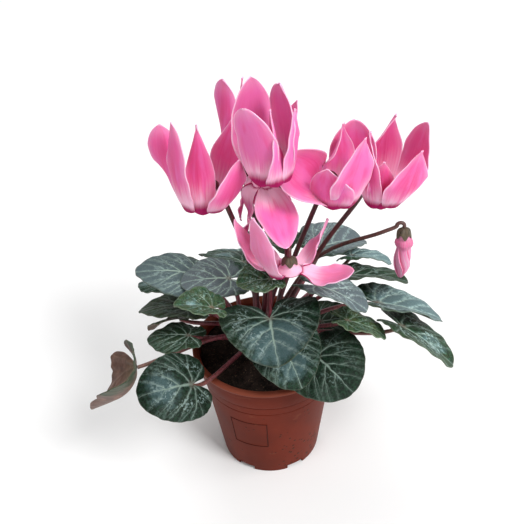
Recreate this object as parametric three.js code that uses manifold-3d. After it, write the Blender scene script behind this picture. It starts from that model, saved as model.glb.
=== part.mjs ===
// A potted cyclamen (Cyclamen persicum) in a plastic nursery pot.
//
// Millimetres, +Z up. The origin is the centre of the pot's base, on the ground. -Y is the plant's
// front and +X its right. The tuber sits half sunk in the soil. Leaf stalks rise from short trunks
// round its crown, flower stalks from the middle of it. Every leaf blade, calyx and corolla is a solid
// of its own, 0.3 mm clear of what carries it.

import * as THREE from 'three';
import { mergeVertices } from 'three/addons/utils/BufferGeometryUtils.js';
import Module from 'manifold-3d';

const wasm = await Module();
wasm.setup();

// ---------------------------------------------------------------- driving dimensions

const CLEARANCE = 0.3; // between two pieces that touch on the real plant

const POT = {
  height: 97,
  rimRadius: 52.5,
  rimHeight: 3.5,
  rimOverhang: 2.2,
  collarHeight: 15, // the wider band under the rim
  collarStep: 0.8,
  footRadius: 36,
  wall: 1.4,
  skirt: 4, // how far the drained floor lies above the ground
  padRadius: 24, // the middle of the floor, which stands on the ground
  sides: 36,
  notches: 6,
  notchWidth: 13,
  firstNotch: -62, // degrees
  drainRadius: 3,
};

const SOIL = { top: 87, crumble: 1.1, sides: 20, rings: 4 };

const TUBER = { radius: 20, halfHeight: 12, centre: [0, 4, 81] };

const CROWN = { centre: [0, 4], trunkRing: 12.5, trunkRadius: 4.6, trunkHeight: 9, flowerRing: 6.1 };

const STALK = { leafRadius: 1.5, flowerRadius: 1.6, budRadius: 1.3, sides: 5 };

const BLADE = { thickness: 0.8, spokes: 22, rings: [0.5, 1], sinus: 18, scallop: 0.022 };

const PETAL = {
  thickness: 0.8,
  rows: 6,
  columns: 2,
  turn: 9, // the fold out of the mouth takes this much of the length
  startAngle: 112,
  foot: 11, // width at the mouth
  widest: 0.52,
  cup: 0.24,
};

const TUBE = { height: 9.2, mouthRadius: 7.6, segments: 10 };

const CALYX = { wall: 0.8, reach: 4.6, notch: 1.6, clear: 0.35 };

const BUD = { length: 39, radius: 6.2, neck: 2.9, lobes: 5, twist: 1.6, rings: 9 };

const HOOK = { radius: 4.8, steps: 5, drop: 12, splay: 4 };
const BUD_HOOK = { radius: 2.6, steps: 5, drop: 4, splay: 9 };

const COLOUR = {
  pot: 0x96462f,
  soil: 0x1d1410,
  tuber: 0x5a4030,
  leafStalk: 0x7a3238,
  flowerStalk: 0x5b2020,
  budStalk: 0x6e4234,
  leaf: 0x2f5a41,
  leafSilver: 0x6d8584,
  leafBack: 0x6b4a44,
  petal: 0xe860a4,
  petalPale: 0xf49ac2,
  calyx: 0x6b6248,
};

// A leaf: the trunk that its stalk grows from, where the stalk meets the blade, the blade's heading,
// pitch and roll there, its length from there to the tip and its full width, then the shape of the
// blade: how far the tip droops and the sides curl down, the V of the two halves, how broad its
// shoulders are, how its edge waves, and how its stalk arrives: at what angle, how steeply it rises
// from the trunk, and at the underside (-1) or the upper face (1).
const leaf = (name, trunk, joint, turns, size, shape = {}) => {
  const [heading, pitch, roll] = turns;
  const [length, width] = size;
  return {
    name, trunk, joint, heading, pitch, roll, length, width,
    droop: 20, sides: 6, fold: 10, shoulder: 0.04, wave: 0.9, phase: 0, arrive: 35, rise: 0.35,
    meets: -1, colour: COLOUR.leaf,
    ...shape,
  };
};

const TRUNKS = ['front', 'front_right', 'back_right', 'back', 'back_left', 'front_left'];
const SILVER = { colour: COLOUR.leafSilver };

const LEAVES = [
  leaf('leaf_front', 'front', [3, -28, 142], [-85, 5, 3], [42, 65],
    { sides: 0, fold: 14, shoulder: 0.1, arrive: 60 }),
  leaf('leaf_front_lower', 'front', [10, -38, 132], [-74, -7, 14], [36, 46],
    { droop: 34, sides: 9, shoulder: 0.06, arrive: 50 }),
  leaf('leaf_front_right', 'front_right', [33, -38, 115], [-52, -6, 14], [34, 56],
    { droop: 24, fold: 7, arrive: 5 }),
  leaf('leaf_front_left', 'front_left', [-49, -54, 112], [-147, 25, -35], [37, 46],
    { droop: 54, fold: 0, rise: 0.2, arrive: 55 }),
  leaf('leaf_far_left', 'front_left', [-85, -44, 120], [-82, -30, -115], [40, 56],
    { droop: 108, sides: -15, fold: -28,
      shoulder: -0.06, arrive: 10, meets: 1, colour: COLOUR.leafBack }),
  leaf('leaf_left_lower', 'front_left', [-52, -20, 124], [170, 3, 10], [28, 38],
    { sides: 17, fold: 3, shoulder: -0.08 }),
  leaf('leaf_left_olive', 'back_left', [-59, 3, 120], [170, -10, 35], [25, 28], { droop: 30 }),
  leaf('leaf_left_middle', 'back_left', [-51, 5, 128], [168, 6, 17], [37, 48],
    { droop: 28, sides: 8 }),
  leaf('leaf_left_upper', 'back_left', [-47, 20, 145], [-177, 19, 5], [41, 54],
    { sides: 15, fold: 4, ...SILVER }),
  leaf('leaf_left_inner', 'back_left', [-23, 7, 149.5], [-173, 13, -1], [33, 43],
    { droop: 25, sides: 11, arrive: 60, ...SILVER }),
  leaf('leaf_left_small', 'front_left', [-33.5, -32, 157], [-179, 20, 9], [24, 32],
    { sides: -2, fold: 16, shoulder: 0.02, arrive: 60 }),
  leaf('leaf_centre_small', 'front', [5, -24, 171], [-173, 7, -2], [22, 31],
    { sides: 5, fold: 18, shoulder: -0.06, arrive: 80 }),
  leaf('leaf_right_inner', 'front_right', [35, -17, 158], [-22, -4, -19], [36, 44],
    { droop: 27, fold: 13, arrive: 60, ...SILVER }),
  leaf('leaf_right_small', 'front_right', [54, -26, 135], [-6, -15, -18], [28, 37], { fold: 10 }),
  leaf('leaf_right_far', 'front_right', [78, -1, 128], [0, -12, -20], [47, 56],
    { droop: 17, sides: 0, fold: 12, arrive: -10, ...SILVER }),
  leaf('leaf_right_low', 'front_right', [92, -18, 120.5], [-25, -20, -24], [43, 53],
    { sides: 4, shoulder: 0 }),
  leaf('leaf_right_upper', 'back_right', [61, 17, 139], [-4, 4, -26], [40, 50], { fold: 11 }),
  leaf('leaf_right_back', 'back_right', [66, 50, 132], [0, 2, -23], [30, 38],
    { droop: 32, ...SILVER }),
  leaf('leaf_back_right', 'back_right', [45, 62, 132], [27, 1, -5], [37, 50],
    { fold: 20, ...SILVER }),
  leaf('leaf_back', 'back', [7, 66, 135], [98, -5, 0], [38, 46], { droop: 30, arrive: 20 }),
  leaf('leaf_back_left', 'back', [-14, 49, 132], [145, 5, 28], [36, 48], { droop: 29, sides: 11 }),
  leaf('leaf_back_low', 'back', [-16, 84, 112], [100, -12, 0], [40, 52], { droop: 35 }),
  leaf('leaf_back_left_low', 'back_left', [-62, 50, 118], [142, -8, 0], [38, 50], { droop: 30 }),
  leaf('leaf_right_under', 'front_right', [40, 8, 106], [4, 8, 5], [26, 36], { arrive: 42 }),
];

// A petal: the direction that it leaves the mouth in, its lean from the flower's axis, its length and
// width, its twist, its inward curl, how far its course swings round the flower, in degrees and
// millimetres, and its tip, from round (0) to sharp (1).
const petal = (azimuth, lean, length, width, twist, curl, swing, point) => ({
  azimuth, lean, length, width, twist, curl, swing, point,
});

// A flower: the centre of its mouth, the lean of its axis and the direction of that lean, the side of
// the flower that its stalk comes up on, and its petals.
const flower = (name, mouth, tilt, heading, stalkSide, petals, options = {}) => ({
  name, mouth, tilt, heading, stalkSide, petals, colour: COLOUR.petal, ...options,
});

const FLOWERS = [
  flower('flower_left', [-34, -5, 217], 0, 180, 8, [
    petal(170, 8, 62, 24, 75, 30, 25, 0.2),
    petal(215, 2, 68, 24, -10, 25, 0, 0.2),
    petal(270, -12, 62, 18, -10, 15, -5, 1),
    petal(50, 24, 60, 24, 20, 25, 0, 0.9),
    petal(318, 22, 52, 30, -20, 35, 25, 0.6),
  ], { root: 205, bow: [6, 4, 0] }),
  flower('flower_top', [7, -20, 243], 0, 0, 70, [
    petal(240, 12, 60, 26, 10, -20, -10, 0),
    petal(125, 0, 65, 30, 5, 35, -5, 0.2),
    petal(20, -6, 64, 30, -10, 20, 20, 0.1),
    petal(290, -8, 54, 16, 80, 40, 15, 0.8),
    petal(335, 5, 52, 20, 5, 15, -5, 0.6),
  ], { root: 20, bow: [10, 10, 0] }),
  flower('flower_middle', [4, 6, 224], 0, 0, 70, [
    petal(282, 130, 42, 26, -10, -35, 20, 0),
    petal(220, 168, 40, 16, 55, 15, -15, 0.4),
    petal(0, 168, 32, 12, 0, 0, 0, 0.3),
    petal(105, 168, 32, 12, 0, 0, 0, 0.3),
    petal(170, 168, 32, 12, 0, 0, 0, 0.3),
  ], { root: 160, bow: [-5, 4, 0] }),
  flower('flower_back', [-5, 30, 217], 0, 0, 260, [
    petal(160, 0, 70, 28, 30, 25, 40, 0.1),
    petal(105, -3, 71, 19, 75, 55, 20, 0.9),
    petal(215, -7, 52, 16, 10, 15, -5, 0.5),
    petal(20, 24, 57, 24, 20, 20, -20, 0.5),
    petal(335, -12, 55, 14, 20, 35, 0, 0.3),
  ], { root: 100, bow: [7, -4, 0] }),
  flower('flower_right_inner', [48, -8, 218], 0, 0, 130, [
    petal(190, 35, 43, 36, -65, -45, -35, 0),
    petal(85, -7, 54, 24, 45, 45, 40, 0.9),
    petal(60, 16, 52, 30, 15, 50, 0, 0),
    petal(295, 15, 62, 32, 10, 10, 10, 0.8),
    petal(250, 14, 36, 28, -5, 25, -10, 0.4),
  ], { root: 290, bow: [-2, 6, 0] }),
  flower('flower_right', [77, 5, 208], 0, 0, 140, [
    petal(85, -14, 69, 26, 30, 60, 30, 0.8),
    petal(235, 4, 62, 18, -30, 20, -25, 0.8),
    petal(25, 21, 57, 28, 0, 40, -5, 0),
    petal(305, 19, 55, 32, -40, 25, 35, 0.9),
    petal(262, 6, 42, 18, 15, 5, 10, 0.7),
  ], { root: 330, bow: [0, 8, 6] }),
  flower('flower_front_low', [17, -26, 179], 0, 0, 95, [
    petal(215, 12, 57, 22, 20, 30, -15, 0.2),
    petal(165, 28, 49, 17, 0, 55, -5, 0.6),
    petal(40, 40, 38, 16, -60, 30, -5, 0.3),
    petal(345, 72, 36, 20, 5, 50, -5, 0),
    petal(145, 24, 42, 14, 10, 20, 30, 0.3),
  ], { colour: COLOUR.petalPale, root: 250, bow: [-1, 8, 0] }),
];

const BUD_PLACE = { calyx: [92.5, 0, 189], stalkSide: 180, root: 60, bow: [-6, 18, 8] };

// ---------------------------------------------------------------- geometry helpers

const radians = THREE.MathUtils.degToRad;
const vector = (list) => new THREE.Vector3(...list);
const smooth = (t) => t * t * (3 - 2 * t);
const clamp = (t) => Math.min(1, Math.max(0, t));

// A seeded random number generator, so that every build is the same.
function seeded(seed) {
  let state = seed;
  return () => {
    state = (state * 1664525 + 1013904223) % 4294967296;
    return state / 4294967296;
  };
}

function toSolid(geometry) {
  const plain = geometry.clone();
  plain.deleteAttribute('normal');
  plain.deleteAttribute('uv');
  const merged = mergeVertices(plain, 1e-3);
  return new wasm.Manifold(new wasm.Mesh({
    numProp: 3,
    vertProperties: merged.attributes.position.array,
    triVerts: new Uint32Array(merged.index.array),
  }));
}

function toGeometry(solid) {
  const mesh = solid.getMesh();
  const geometry = new THREE.BufferGeometry();
  geometry.setAttribute('position', new THREE.BufferAttribute(mesh.vertProperties, 3));
  geometry.setIndex(new THREE.BufferAttribute(mesh.triVerts, 1));
  geometry.computeVertexNormals();
  return geometry;
}

const union = (geometries) => geometries.map(toSolid).reduce((sum, next) => sum.add(next));

function indexed(positions, faces) {
  const geometry = new THREE.BufferGeometry();
  const numbers = positions.flatMap((p) => [p.x, p.y, p.z]);
  geometry.setAttribute('position', new THREE.Float32BufferAttribute(numbers, 3));
  geometry.setIndex(faces.flat());
  return geometry;
}

function lathe(profile, segments) {
  const points = profile.map(([r, z]) => new THREE.Vector2(r, z));
  return new THREE.LatheGeometry(points, segments).rotateX(Math.PI / 2);
}

// A round rod of constant thickness along a curve.
function rod(curve, radius, steps) {
  const section = new THREE.Shape();
  for (let i = 0; i < STALK.sides; i++) {
    const a = (2 * Math.PI * i) / STALK.sides;
    if (i) section.lineTo(radius * Math.cos(a), radius * Math.sin(a));
    else section.moveTo(radius, 0);
  }
  return new THREE.ExtrudeGeometry(section, { steps, extrudePath: curve, bevelEnabled: false });
}

// The matrix of a frame at a point, with its columns along forward, side and normal.
function frameAt(origin, forward, side, normal) {
  return new THREE.Matrix4().makeBasis(forward, side, normal).setPosition(origin);
}

// Two skins, half a thickness either side of a surface of points, closed round the surface's edge. Both
// skins are split into the same triangles, so they never cross where the surface waves.
function thicken(points, normals, faces, border, thickness) {
  const count = points.length;
  const above = points.map((p, i) => p.clone().addScaledVector(normals[i], thickness / 2));
  const below = points.map((p, i) => p.clone().addScaledVector(normals[i], -thickness / 2));
  const skins = [...faces, ...faces.map(([a, b, c]) => [a + count, c + count, b + count])];
  border.forEach((a, i) => {
    const b = border[(i + 1) % border.length];
    skins.push([a, a + count, b], [b, a + count, b + count]);
  });
  return indexed([...above, ...below], skins);
}

function pointNormals(points, faces) {
  const normals = points.map(() => new THREE.Vector3());
  for (const [a, b, c] of faces) {
    const n = points[b].clone().sub(points[a]).cross(points[c].clone().sub(points[a]));
    [a, b, c].forEach((i) => normals[i].add(n));
  }
  return normals.map((n) => n.normalize());
}

// ---------------------------------------------------------------- pot, soil and tuber

function potRadius(z) {
  const bodyTop = POT.rimRadius - POT.rimOverhang - POT.collarStep;
  return POT.footRadius + ((bodyTop - POT.footRadius) * z) / POT.height;
}

function potGeometry() {
  const { height, rimRadius, rimHeight, collarHeight, collarStep } = POT;
  const { footRadius, wall, skirt, padRadius } = POT;
  const collar = height - rimHeight - collarHeight;
  const body = [
    [0, 0], [padRadius, 0], [padRadius + 1.5, skirt - wall], [footRadius - 4, skirt - wall],
    [footRadius - wall, 0], [footRadius, 0],
    [potRadius(collar - 1), collar - 1], [potRadius(collar) + collarStep, collar],
    [potRadius(height - rimHeight) + collarStep, height - rimHeight],
    [rimRadius - 0.6, height - rimHeight], [rimRadius, height - rimHeight + 0.8],
    [rimRadius, height - 0.8], [rimRadius - 0.8, height], [potRadius(height) - wall + 0.6, height],
    [potRadius(height) - wall, height - 1], [potRadius(skirt) - wall, skirt], [padRadius + 1.2, skirt],
    [padRadius - 0.6, wall], [0, wall],
  ];
  let solid = toSolid(lathe(body, POT.sides));
  for (let i = 0; i < POT.notches; i++) {
    const angle = radians(POT.firstNotch + (360 * i) / POT.notches);
    const notch = new THREE.BoxGeometry(10, POT.notchWidth, 2 * skirt)
      .translate(footRadius, 0, 0).rotateZ(angle);
    const drain = new THREE.CylinderGeometry(POT.drainRadius, POT.drainRadius, 8, 6).rotateX(Math.PI / 2)
      .translate(padRadius + 6, 0, skirt).rotateZ(angle);
    solid = solid.subtract(toSolid(notch)).subtract(toSolid(drain));
  }
  return toGeometry(solid);
}

function soilGeometry(tuber) {
  const { top, crumble, sides, rings } = SOIL;
  const random = seeded(7);
  const outer = (z) => potRadius(z) - POT.wall - CLEARANCE - 0.3;
  const bottom = POT.skirt + CLEARANCE;
  const geometry = lathe([
    [0, bottom], [outer(bottom) - 0.5, bottom], [outer(top - 2), top - 2],
    ...Array.from({ length: rings }, (_, i) => [outer(top) * (1 - (i + 0.4) / (rings + 0.4)), top]),
    [0, top],
  ], sides);
  geometry.deleteAttribute('normal');
  geometry.deleteAttribute('uv');
  const merged = mergeVertices(geometry, 1e-3);
  const place = merged.attributes.position;
  for (let i = 0; i < place.count; i++) {
    if (place.getZ(i) > top - 1) place.setZ(i, top + crumble * (2 * random() - 1));
  }
  return toGeometry(toSolid(merged).subtract(toSolid(tuber)));
}

function tuberGeometry(grow = 0) {
  return new THREE.SphereGeometry(1, 14, 8).rotateX(Math.PI / 2)
    .scale(TUBER.radius + grow, TUBER.radius + grow, TUBER.halfHeight + grow)
    .translate(...TUBER.centre);
}

// ---------------------------------------------------------------- leaves

// How far the outline lies from the stalk's joint, as a share of the length from joint to tip.
function heartOutline(angle, shoulder) {
  const intoLobe = (Math.abs(angle) - 2.42) / (Math.PI - radians(BLADE.sinus) - 2.42);
  const roundLobe = 1 - 0.3 * clamp(intoLobe) ** 2.5;
  const tip = 0.14 * Math.exp(-((angle / 0.45) ** 2));
  const shoulders = shoulder * Math.exp(-(((Math.abs(angle) - 1.8) / 0.6) ** 2));
  return roundLobe * (0.6 + 0.18 * Math.cos(angle) + 0.08 * Math.cos(2 * angle) + tip + shoulders);
}

// The outline's own full width, at a length of 1.
function heartWidth(shoulder) {
  let widest = 0;
  for (let degrees = 40; degrees < 130; degrees += 2) {
    const angle = radians(degrees);
    widest = Math.max(widest, 2 * heartOutline(angle, shoulder) * Math.sin(angle));
  }
  return widest;
}

// The blade's frame: forward along the midrib, side across it, normal out of its upper face.
function leafFrame(spec) {
  const heading = radians(spec.heading);
  const pitch = radians(spec.pitch);
  const forward = new THREE.Vector3(
    Math.cos(pitch) * Math.cos(heading), Math.cos(pitch) * Math.sin(heading), Math.sin(pitch),
  );
  const side = new THREE.Vector3(0, 0, 1).cross(forward).normalize();
  side.applyAxisAngle(forward, radians(spec.roll));
  return { joint: vector(spec.joint), forward, side, normal: forward.clone().cross(side) };
}

// A length bent into an arc that turns through an angle: how far it reaches, and how far it drops.
function arc(distance, full, degrees) {
  const curvature = radians(degrees) / full;
  if (Math.abs(curvature) < 1e-6) return [distance, 0];
  return [Math.sin(curvature * distance) / curvature, (Math.cos(curvature * distance) - 1) / curvature];
}

// A point of the blade in its own frame, at an angle from the midrib and a share of the way out to the
// edge.
function leafPoint(spec, angle, share) {
  const { length } = spec;
  const stretch = spec.width / (heartWidth(spec.shoulder) * length);
  const reach = share * length * heartOutline(angle, spec.shoulder);
  const x = reach * Math.cos(angle);
  const y = reach * Math.sin(angle) * stretch;
  const [alongX, dropX] = arc(x, length, spec.droop);
  const [acrossY, dropY] = arc(y, spec.width / 2, spec.sides);
  const crease = Math.sqrt(acrossY * acrossY + 4) - 2;
  const wave = spec.wave * share * share * Math.sin(5 * angle + spec.phase);
  return new THREE.Vector3(alongX, acrossY, dropX + dropY + crease * Math.tan(radians(spec.fold)) + wave);
}

function bladeGeometry(spec) {
  const { joint, forward, side, normal } = leafFrame(spec);
  const { spokes, rings, sinus, scallop, thickness } = BLADE;
  const widest = radians(180 - sinus);
  const points = [new THREE.Vector3()];
  rings.forEach((ring) => {
    for (let i = 0; i <= spokes; i++) {
      const tooth = ring === 1 ? 1 + (i % 2 ? -scallop : scallop) : 1;
      points.push(leafPoint(spec, widest * ((2 * i) / spokes - 1), ring * tooth));
    }
  });
  const at = (ring, i) => 1 + ring * (spokes + 1) + i;
  const faces = [];
  const border = [0];
  for (let i = 0; i < spokes; i++) {
    faces.push([0, at(0, i), at(0, i + 1)]);
    for (let ring = 1; ring < rings.length; ring++) {
      const [a, b, c, d] = [at(ring - 1, i), at(ring, i), at(ring, i + 1), at(ring - 1, i + 1)];
      faces.push([a, b, c], [a, c, d]);
    }
  }
  for (let ring = 0; ring < rings.length - 1; ring++) border.push(at(ring, 0));
  for (let i = 0; i <= spokes; i++) border.push(at(rings.length - 1, i));
  for (let ring = rings.length - 2; ring >= 0; ring--) border.push(at(ring, spokes));
  return thicken(points, pointNormals(points, faces), faces, border, thickness)
    .applyMatrix4(frameAt(joint, forward, side, normal));
}

function trunkPlace(name) {
  const angle = radians(-90 + (360 * TRUNKS.indexOf(name)) / TRUNKS.length);
  return new THREE.Vector3(
    CROWN.centre[0] + CROWN.trunkRing * Math.cos(angle),
    CROWN.centre[1] + CROWN.trunkRing * Math.sin(angle),
    tuberTop(CROWN.trunkRing - CROWN.trunkRadius) + CLEARANCE,
  );
}

function tuberTop(distance) {
  return TUBER.centre[2] + TUBER.halfHeight * Math.sqrt(1 - (distance / TUBER.radius) ** 2);
}

// A leaf stalk's course: up and out from its trunk, then onto the blade, with its slanted end just
// clear of it.
function leafStalkCurve(spec, index, count) {
  const { joint, normal } = leafFrame(spec);
  const spread = 0.45 * CROWN.trunkRadius;
  const turn = (2 * Math.PI * index) / count;
  const onTrunk = new THREE.Vector3(spread * Math.cos(turn), spread * Math.sin(turn), 2);
  const root = trunkPlace(spec.trunk).add(onTrunk);
  const away = joint.clone().sub(root).setZ(0).normalize();
  const arrive = radians(spec.arrive);
  const arrival = away.clone().multiplyScalar(Math.cos(arrive)).setZ(Math.sin(arrive));
  const slant = Math.sqrt(1 - arrival.dot(normal) ** 2);
  const offset = BLADE.thickness / 2 + CLEARANCE + STALK.leafRadius * slant;
  const end = joint.clone().addScaledVector(normal, spec.meets * offset);
  const distance = end.distanceTo(root);
  return new THREE.CubicBezierCurve3(
    root,
    root.clone().addScaledVector(away, 0.15 * distance).add(new THREE.Vector3(0, 0, spec.rise * distance)),
    end.clone().addScaledVector(arrival, -0.35 * distance),
    end,
  );
}

function leafStalksGeometry(trunk) {
  const place = trunkPlace(trunk);
  const knob = new THREE.CylinderGeometry(CROWN.trunkRadius * 0.8, CROWN.trunkRadius, CROWN.trunkHeight, 8)
    .rotateX(Math.PI / 2).translate(place.x, place.y, place.z + CROWN.trunkHeight / 2);
  const own = LEAVES.filter((spec) => spec.trunk === trunk);
  const rods = own.map((spec, i) => rod(leafStalkCurve(spec, i, own.length), STALK.leafRadius, 5));
  return toGeometry(union([knob, ...rods]));
}

// ---------------------------------------------------------------- flowers

// The flower's frame: its axis runs from the mouth, which hangs down, up to the calyx.
function flowerFrame(spec) {
  const heading = radians(spec.heading);
  const lean = radians(spec.tilt);
  const axis = new THREE.Vector3(
    Math.sin(lean) * Math.cos(heading), Math.sin(lean) * Math.sin(heading), Math.cos(lean),
  );
  const right = new THREE.Vector3(0, 1, 0).cross(axis).normalize();
  return { mouth: vector(spec.mouth), right, back: axis.clone().cross(right), axis };
}

function petalHalfWidth(spec, t) {
  const foot = Math.min(1, PETAL.foot / spec.width);
  const share = foot + (1 - foot) * Math.sin((Math.PI / 2) * clamp(t / PETAL.widest)) ** 1.3;
  const past = clamp((t - PETAL.widest) / (1 - PETAL.widest));
  const taper = (1 - past ** (2.2 - 0.9 * spec.point)) ** (0.6 + 0.6 * spec.point);
  return (spec.width / 2) * share * Math.max(0.05, taper);
}

// The petal's midline: out of the mouth, round the fold and up, then curling. Each place on it has the
// petal's direction across and the direction that its inner face looks in.
function petalMidline(spec, steps) {
  const line = [];
  const azimuth = radians(spec.azimuth);
  const foot = TUBE.mouthRadius - 0.9;
  const place = new THREE.Vector3(foot * Math.cos(azimuth), foot * Math.sin(azimuth), 0);
  place.z = -0.1;
  const step = spec.length / steps;
  for (let i = 0; i <= steps; i++) {
    const distance = i * step;
    const t = clamp((distance - PETAL.turn) / (spec.length - PETAL.turn));
    const settled = spec.lean + spec.curl * ((1 - t) ** 2 - 0.33);
    const folded = 1 - smooth(clamp(distance / PETAL.turn));
    const angle = radians(settled + (PETAL.startAngle - settled) * folded);
    const heading = radians(spec.azimuth + spec.swing * smooth(t));
    const along = new THREE.Vector3(
      Math.sin(angle) * Math.cos(heading), Math.sin(angle) * Math.sin(heading), Math.cos(angle),
    );
    const side = new THREE.Vector3(-Math.sin(heading), Math.cos(heading), 0)
      .applyAxisAngle(along, radians(spec.twist) * smooth(distance / spec.length));
    line.push({ place: place.clone(), side, face: along.clone().cross(side), t: distance / spec.length });
    place.addScaledVector(along, step);
  }
  return line;
}

function petalGeometry(spec) {
  const fine = 8; // midline steps for each row of the mesh
  const line = petalMidline(spec, PETAL.rows * fine).filter((_, i) => i % fine === 0);
  const points = [];
  for (const { place, side, face, t } of line) {
    const half = petalHalfWidth(spec, t);
    const cup = PETAL.cup + 0.26 * (1 - smooth(clamp(t / 0.35)));
    for (let j = 0; j <= PETAL.columns; j++) {
      const u = (2 * j) / PETAL.columns - 1;
      points.push(place.clone().addScaledVector(side, half * u).addScaledVector(face, cup * half * u * u));
    }
  }
  const at = (row, j) => row * (PETAL.columns + 1) + j;
  const faces = [];
  for (let row = 0; row < PETAL.rows; row++) {
    for (let j = 0; j < PETAL.columns; j++) {
      const [a, b, c, d] = [at(row, j), at(row, j + 1), at(row + 1, j + 1), at(row + 1, j)];
      faces.push([a, b, c], [a, c, d]);
    }
  }
  const border = [];
  for (let j = 0; j < PETAL.columns; j++) border.push(at(0, j));
  for (let row = 0; row < PETAL.rows; row++) border.push(at(row, PETAL.columns));
  for (let j = PETAL.columns; j > 0; j--) border.push(at(PETAL.rows, j));
  for (let row = PETAL.rows; row > 0; row--) border.push(at(row, 0));
  return thicken(points, pointNormals(points, faces), faces, border, PETAL.thickness);
}

// The short tube of the corolla: a cup with its mouth down.
function tubeGeometry() {
  const { height, mouthRadius, segments } = TUBE;
  return lathe([
    [0, height - 2.4], [3, height - 4], [mouthRadius - 1.4, -0.6], [mouthRadius, -0.6], [mouthRadius, 0.5],
    [4.6, 3], [3.8, height - 2], [0, height],
  ], segments);
}

// The calyx: a small cap on the tube's top, or on the bud's, with five pointed sepals.
function calyxGeometry(size = 1) {
  const sides = 10;
  const { wall, reach, notch, clear } = CALYX;
  const top = TUBE.height + clear;
  const rings = (grow) => [
    { radius: size * 2.4 + grow, low: () => top - 0.4 + grow * 0.6 },
    { radius: size * 3.9 + clear + grow, low: () => top - 2.3 + grow * 0.4 },
    { radius: size * 4.3 + clear + grow, low: (i) => top - reach - (i % 2 ? 0 : notch) },
  ];
  const points = [new THREE.Vector3(0, 0, top + wall), new THREE.Vector3(0, 0, top)];
  [...rings(wall), ...rings(0)].forEach((ring) => {
    for (let i = 0; i < sides; i++) {
      const a = (2 * Math.PI * i) / sides - Math.PI / 2;
      points.push(new THREE.Vector3(ring.radius * Math.cos(a), ring.radius * Math.sin(a), ring.low(i)));
    }
  });
  const at = (ring, i) => 2 + ring * sides + (i % sides);
  const faces = [];
  for (let i = 0; i < sides; i++) {
    faces.push([0, at(0, i), at(0, i + 1)], [1, at(3, i + 1), at(3, i)]);
    for (const ring of [0, 1]) {
      faces.push([at(ring, i), at(ring + 1, i), at(ring + 1, i + 1)]);
      faces.push([at(ring, i), at(ring + 1, i + 1), at(ring, i + 1)]);
    }
    for (const ring of [3, 4]) {
      faces.push([at(ring, i), at(ring + 1, i + 1), at(ring + 1, i)]);
      faces.push([at(ring, i), at(ring, i + 1), at(ring + 1, i + 1)]);
    }
    faces.push([at(2, i), at(5, i), at(5, i + 1)], [at(2, i), at(5, i + 1), at(2, i + 1)]);
  }
  return indexed(points, faces);
}

function corollaGeometry(spec) {
  const { mouth, right, back, axis } = flowerFrame(spec);
  return toGeometry(union([tubeGeometry(), ...spec.petals.map(petalGeometry)]))
    .applyMatrix4(frameAt(mouth, right, back, axis));
}

// A stalk: up from the crown, past the side of the flower, round the hook and down to the calyx.
function flowerStalkCurve(root, calyxTop, axis, sideways, bow, hook = HOOK) {
  const points = [];
  for (let i = 0; i <= hook.steps; i++) {
    const a = (Math.PI * i) / hook.steps;
    points.push(calyxTop.clone().addScaledVector(axis, hook.radius * Math.sin(a) + 0.8)
      .addScaledVector(sideways, hook.radius * (1 + Math.cos(a))));
  }
  points.push(calyxTop.clone());
  const start = points[0].clone().addScaledVector(axis, -hook.drop).addScaledVector(sideways, hook.splay);
  const upright = root.clone().lerp(start, 0.03).setZ(root.z + 14);
  const between = root.clone().lerp(start, 0.55).add(bow);
  return new THREE.CatmullRomCurve3([root, upright, between, start, ...points], false, 'centripetal');
}

function crownPlace(degrees) {
  const a = radians(degrees);
  return new THREE.Vector3(
    CROWN.centre[0] + CROWN.flowerRing * Math.cos(a),
    CROWN.centre[1] + CROWN.flowerRing * Math.sin(a),
    tuberTop(CROWN.flowerRing - STALK.flowerRadius) + CLEARANCE,
  );
}

function flowerStalkGeometry(spec) {
  const { mouth, axis } = flowerFrame(spec);
  const angle = radians(spec.stalkSide);
  const sideways = new THREE.Vector3(Math.cos(angle), Math.sin(angle), 0);
  sideways.addScaledVector(axis, -sideways.dot(axis)).normalize();
  const calyxTop = mouth.clone().addScaledVector(axis, TUBE.height + CALYX.clear + CALYX.wall + CLEARANCE);
  const bow = vector(spec.bow ?? [0, 0, 0]);
  const course = flowerStalkCurve(crownPlace(spec.root), calyxTop, axis, sideways, bow);
  return rod(course, STALK.flowerRadius, 13);
}

// ---------------------------------------------------------------- bud

function budGeometry() {
  const { length, radius, neck, lobes, twist, rings } = BUD;
  const sides = lobes * 2;
  const points = [new THREE.Vector3(0, 0, 0)];
  for (let ring = 1; ring < rings; ring++) {
    const t = ring / rings;
    const swell = neck + (radius - neck) * smooth(clamp((t - 0.15) / 0.45));
    const girth = swell * (t < 0.6 ? 1 : 1 - 0.86 * ((t - 0.6) / 0.4) ** 1.6);
    for (let i = 0; i < sides; i++) {
      const a = (2 * Math.PI * i) / sides + twist * t;
      const r = girth * (i % 2 ? 0.84 : 1);
      points.push(new THREE.Vector3(r * Math.cos(a), r * Math.sin(a), -length * t));
    }
  }
  points.push(new THREE.Vector3(0, 0, -length));
  const last = points.length - 1;
  const at = (ring, i) => 1 + ring * sides + (i % sides);
  const faces = [];
  for (let i = 0; i < sides; i++) {
    faces.push([0, at(0, i), at(0, i + 1)], [last, at(rings - 2, i + 1), at(rings - 2, i)]);
    for (let ring = 0; ring < rings - 2; ring++) {
      faces.push([at(ring, i), at(ring + 1, i), at(ring + 1, i + 1)]);
      faces.push([at(ring, i), at(ring + 1, i + 1), at(ring, i + 1)]);
    }
  }
  return indexed(points, faces);
}

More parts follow.
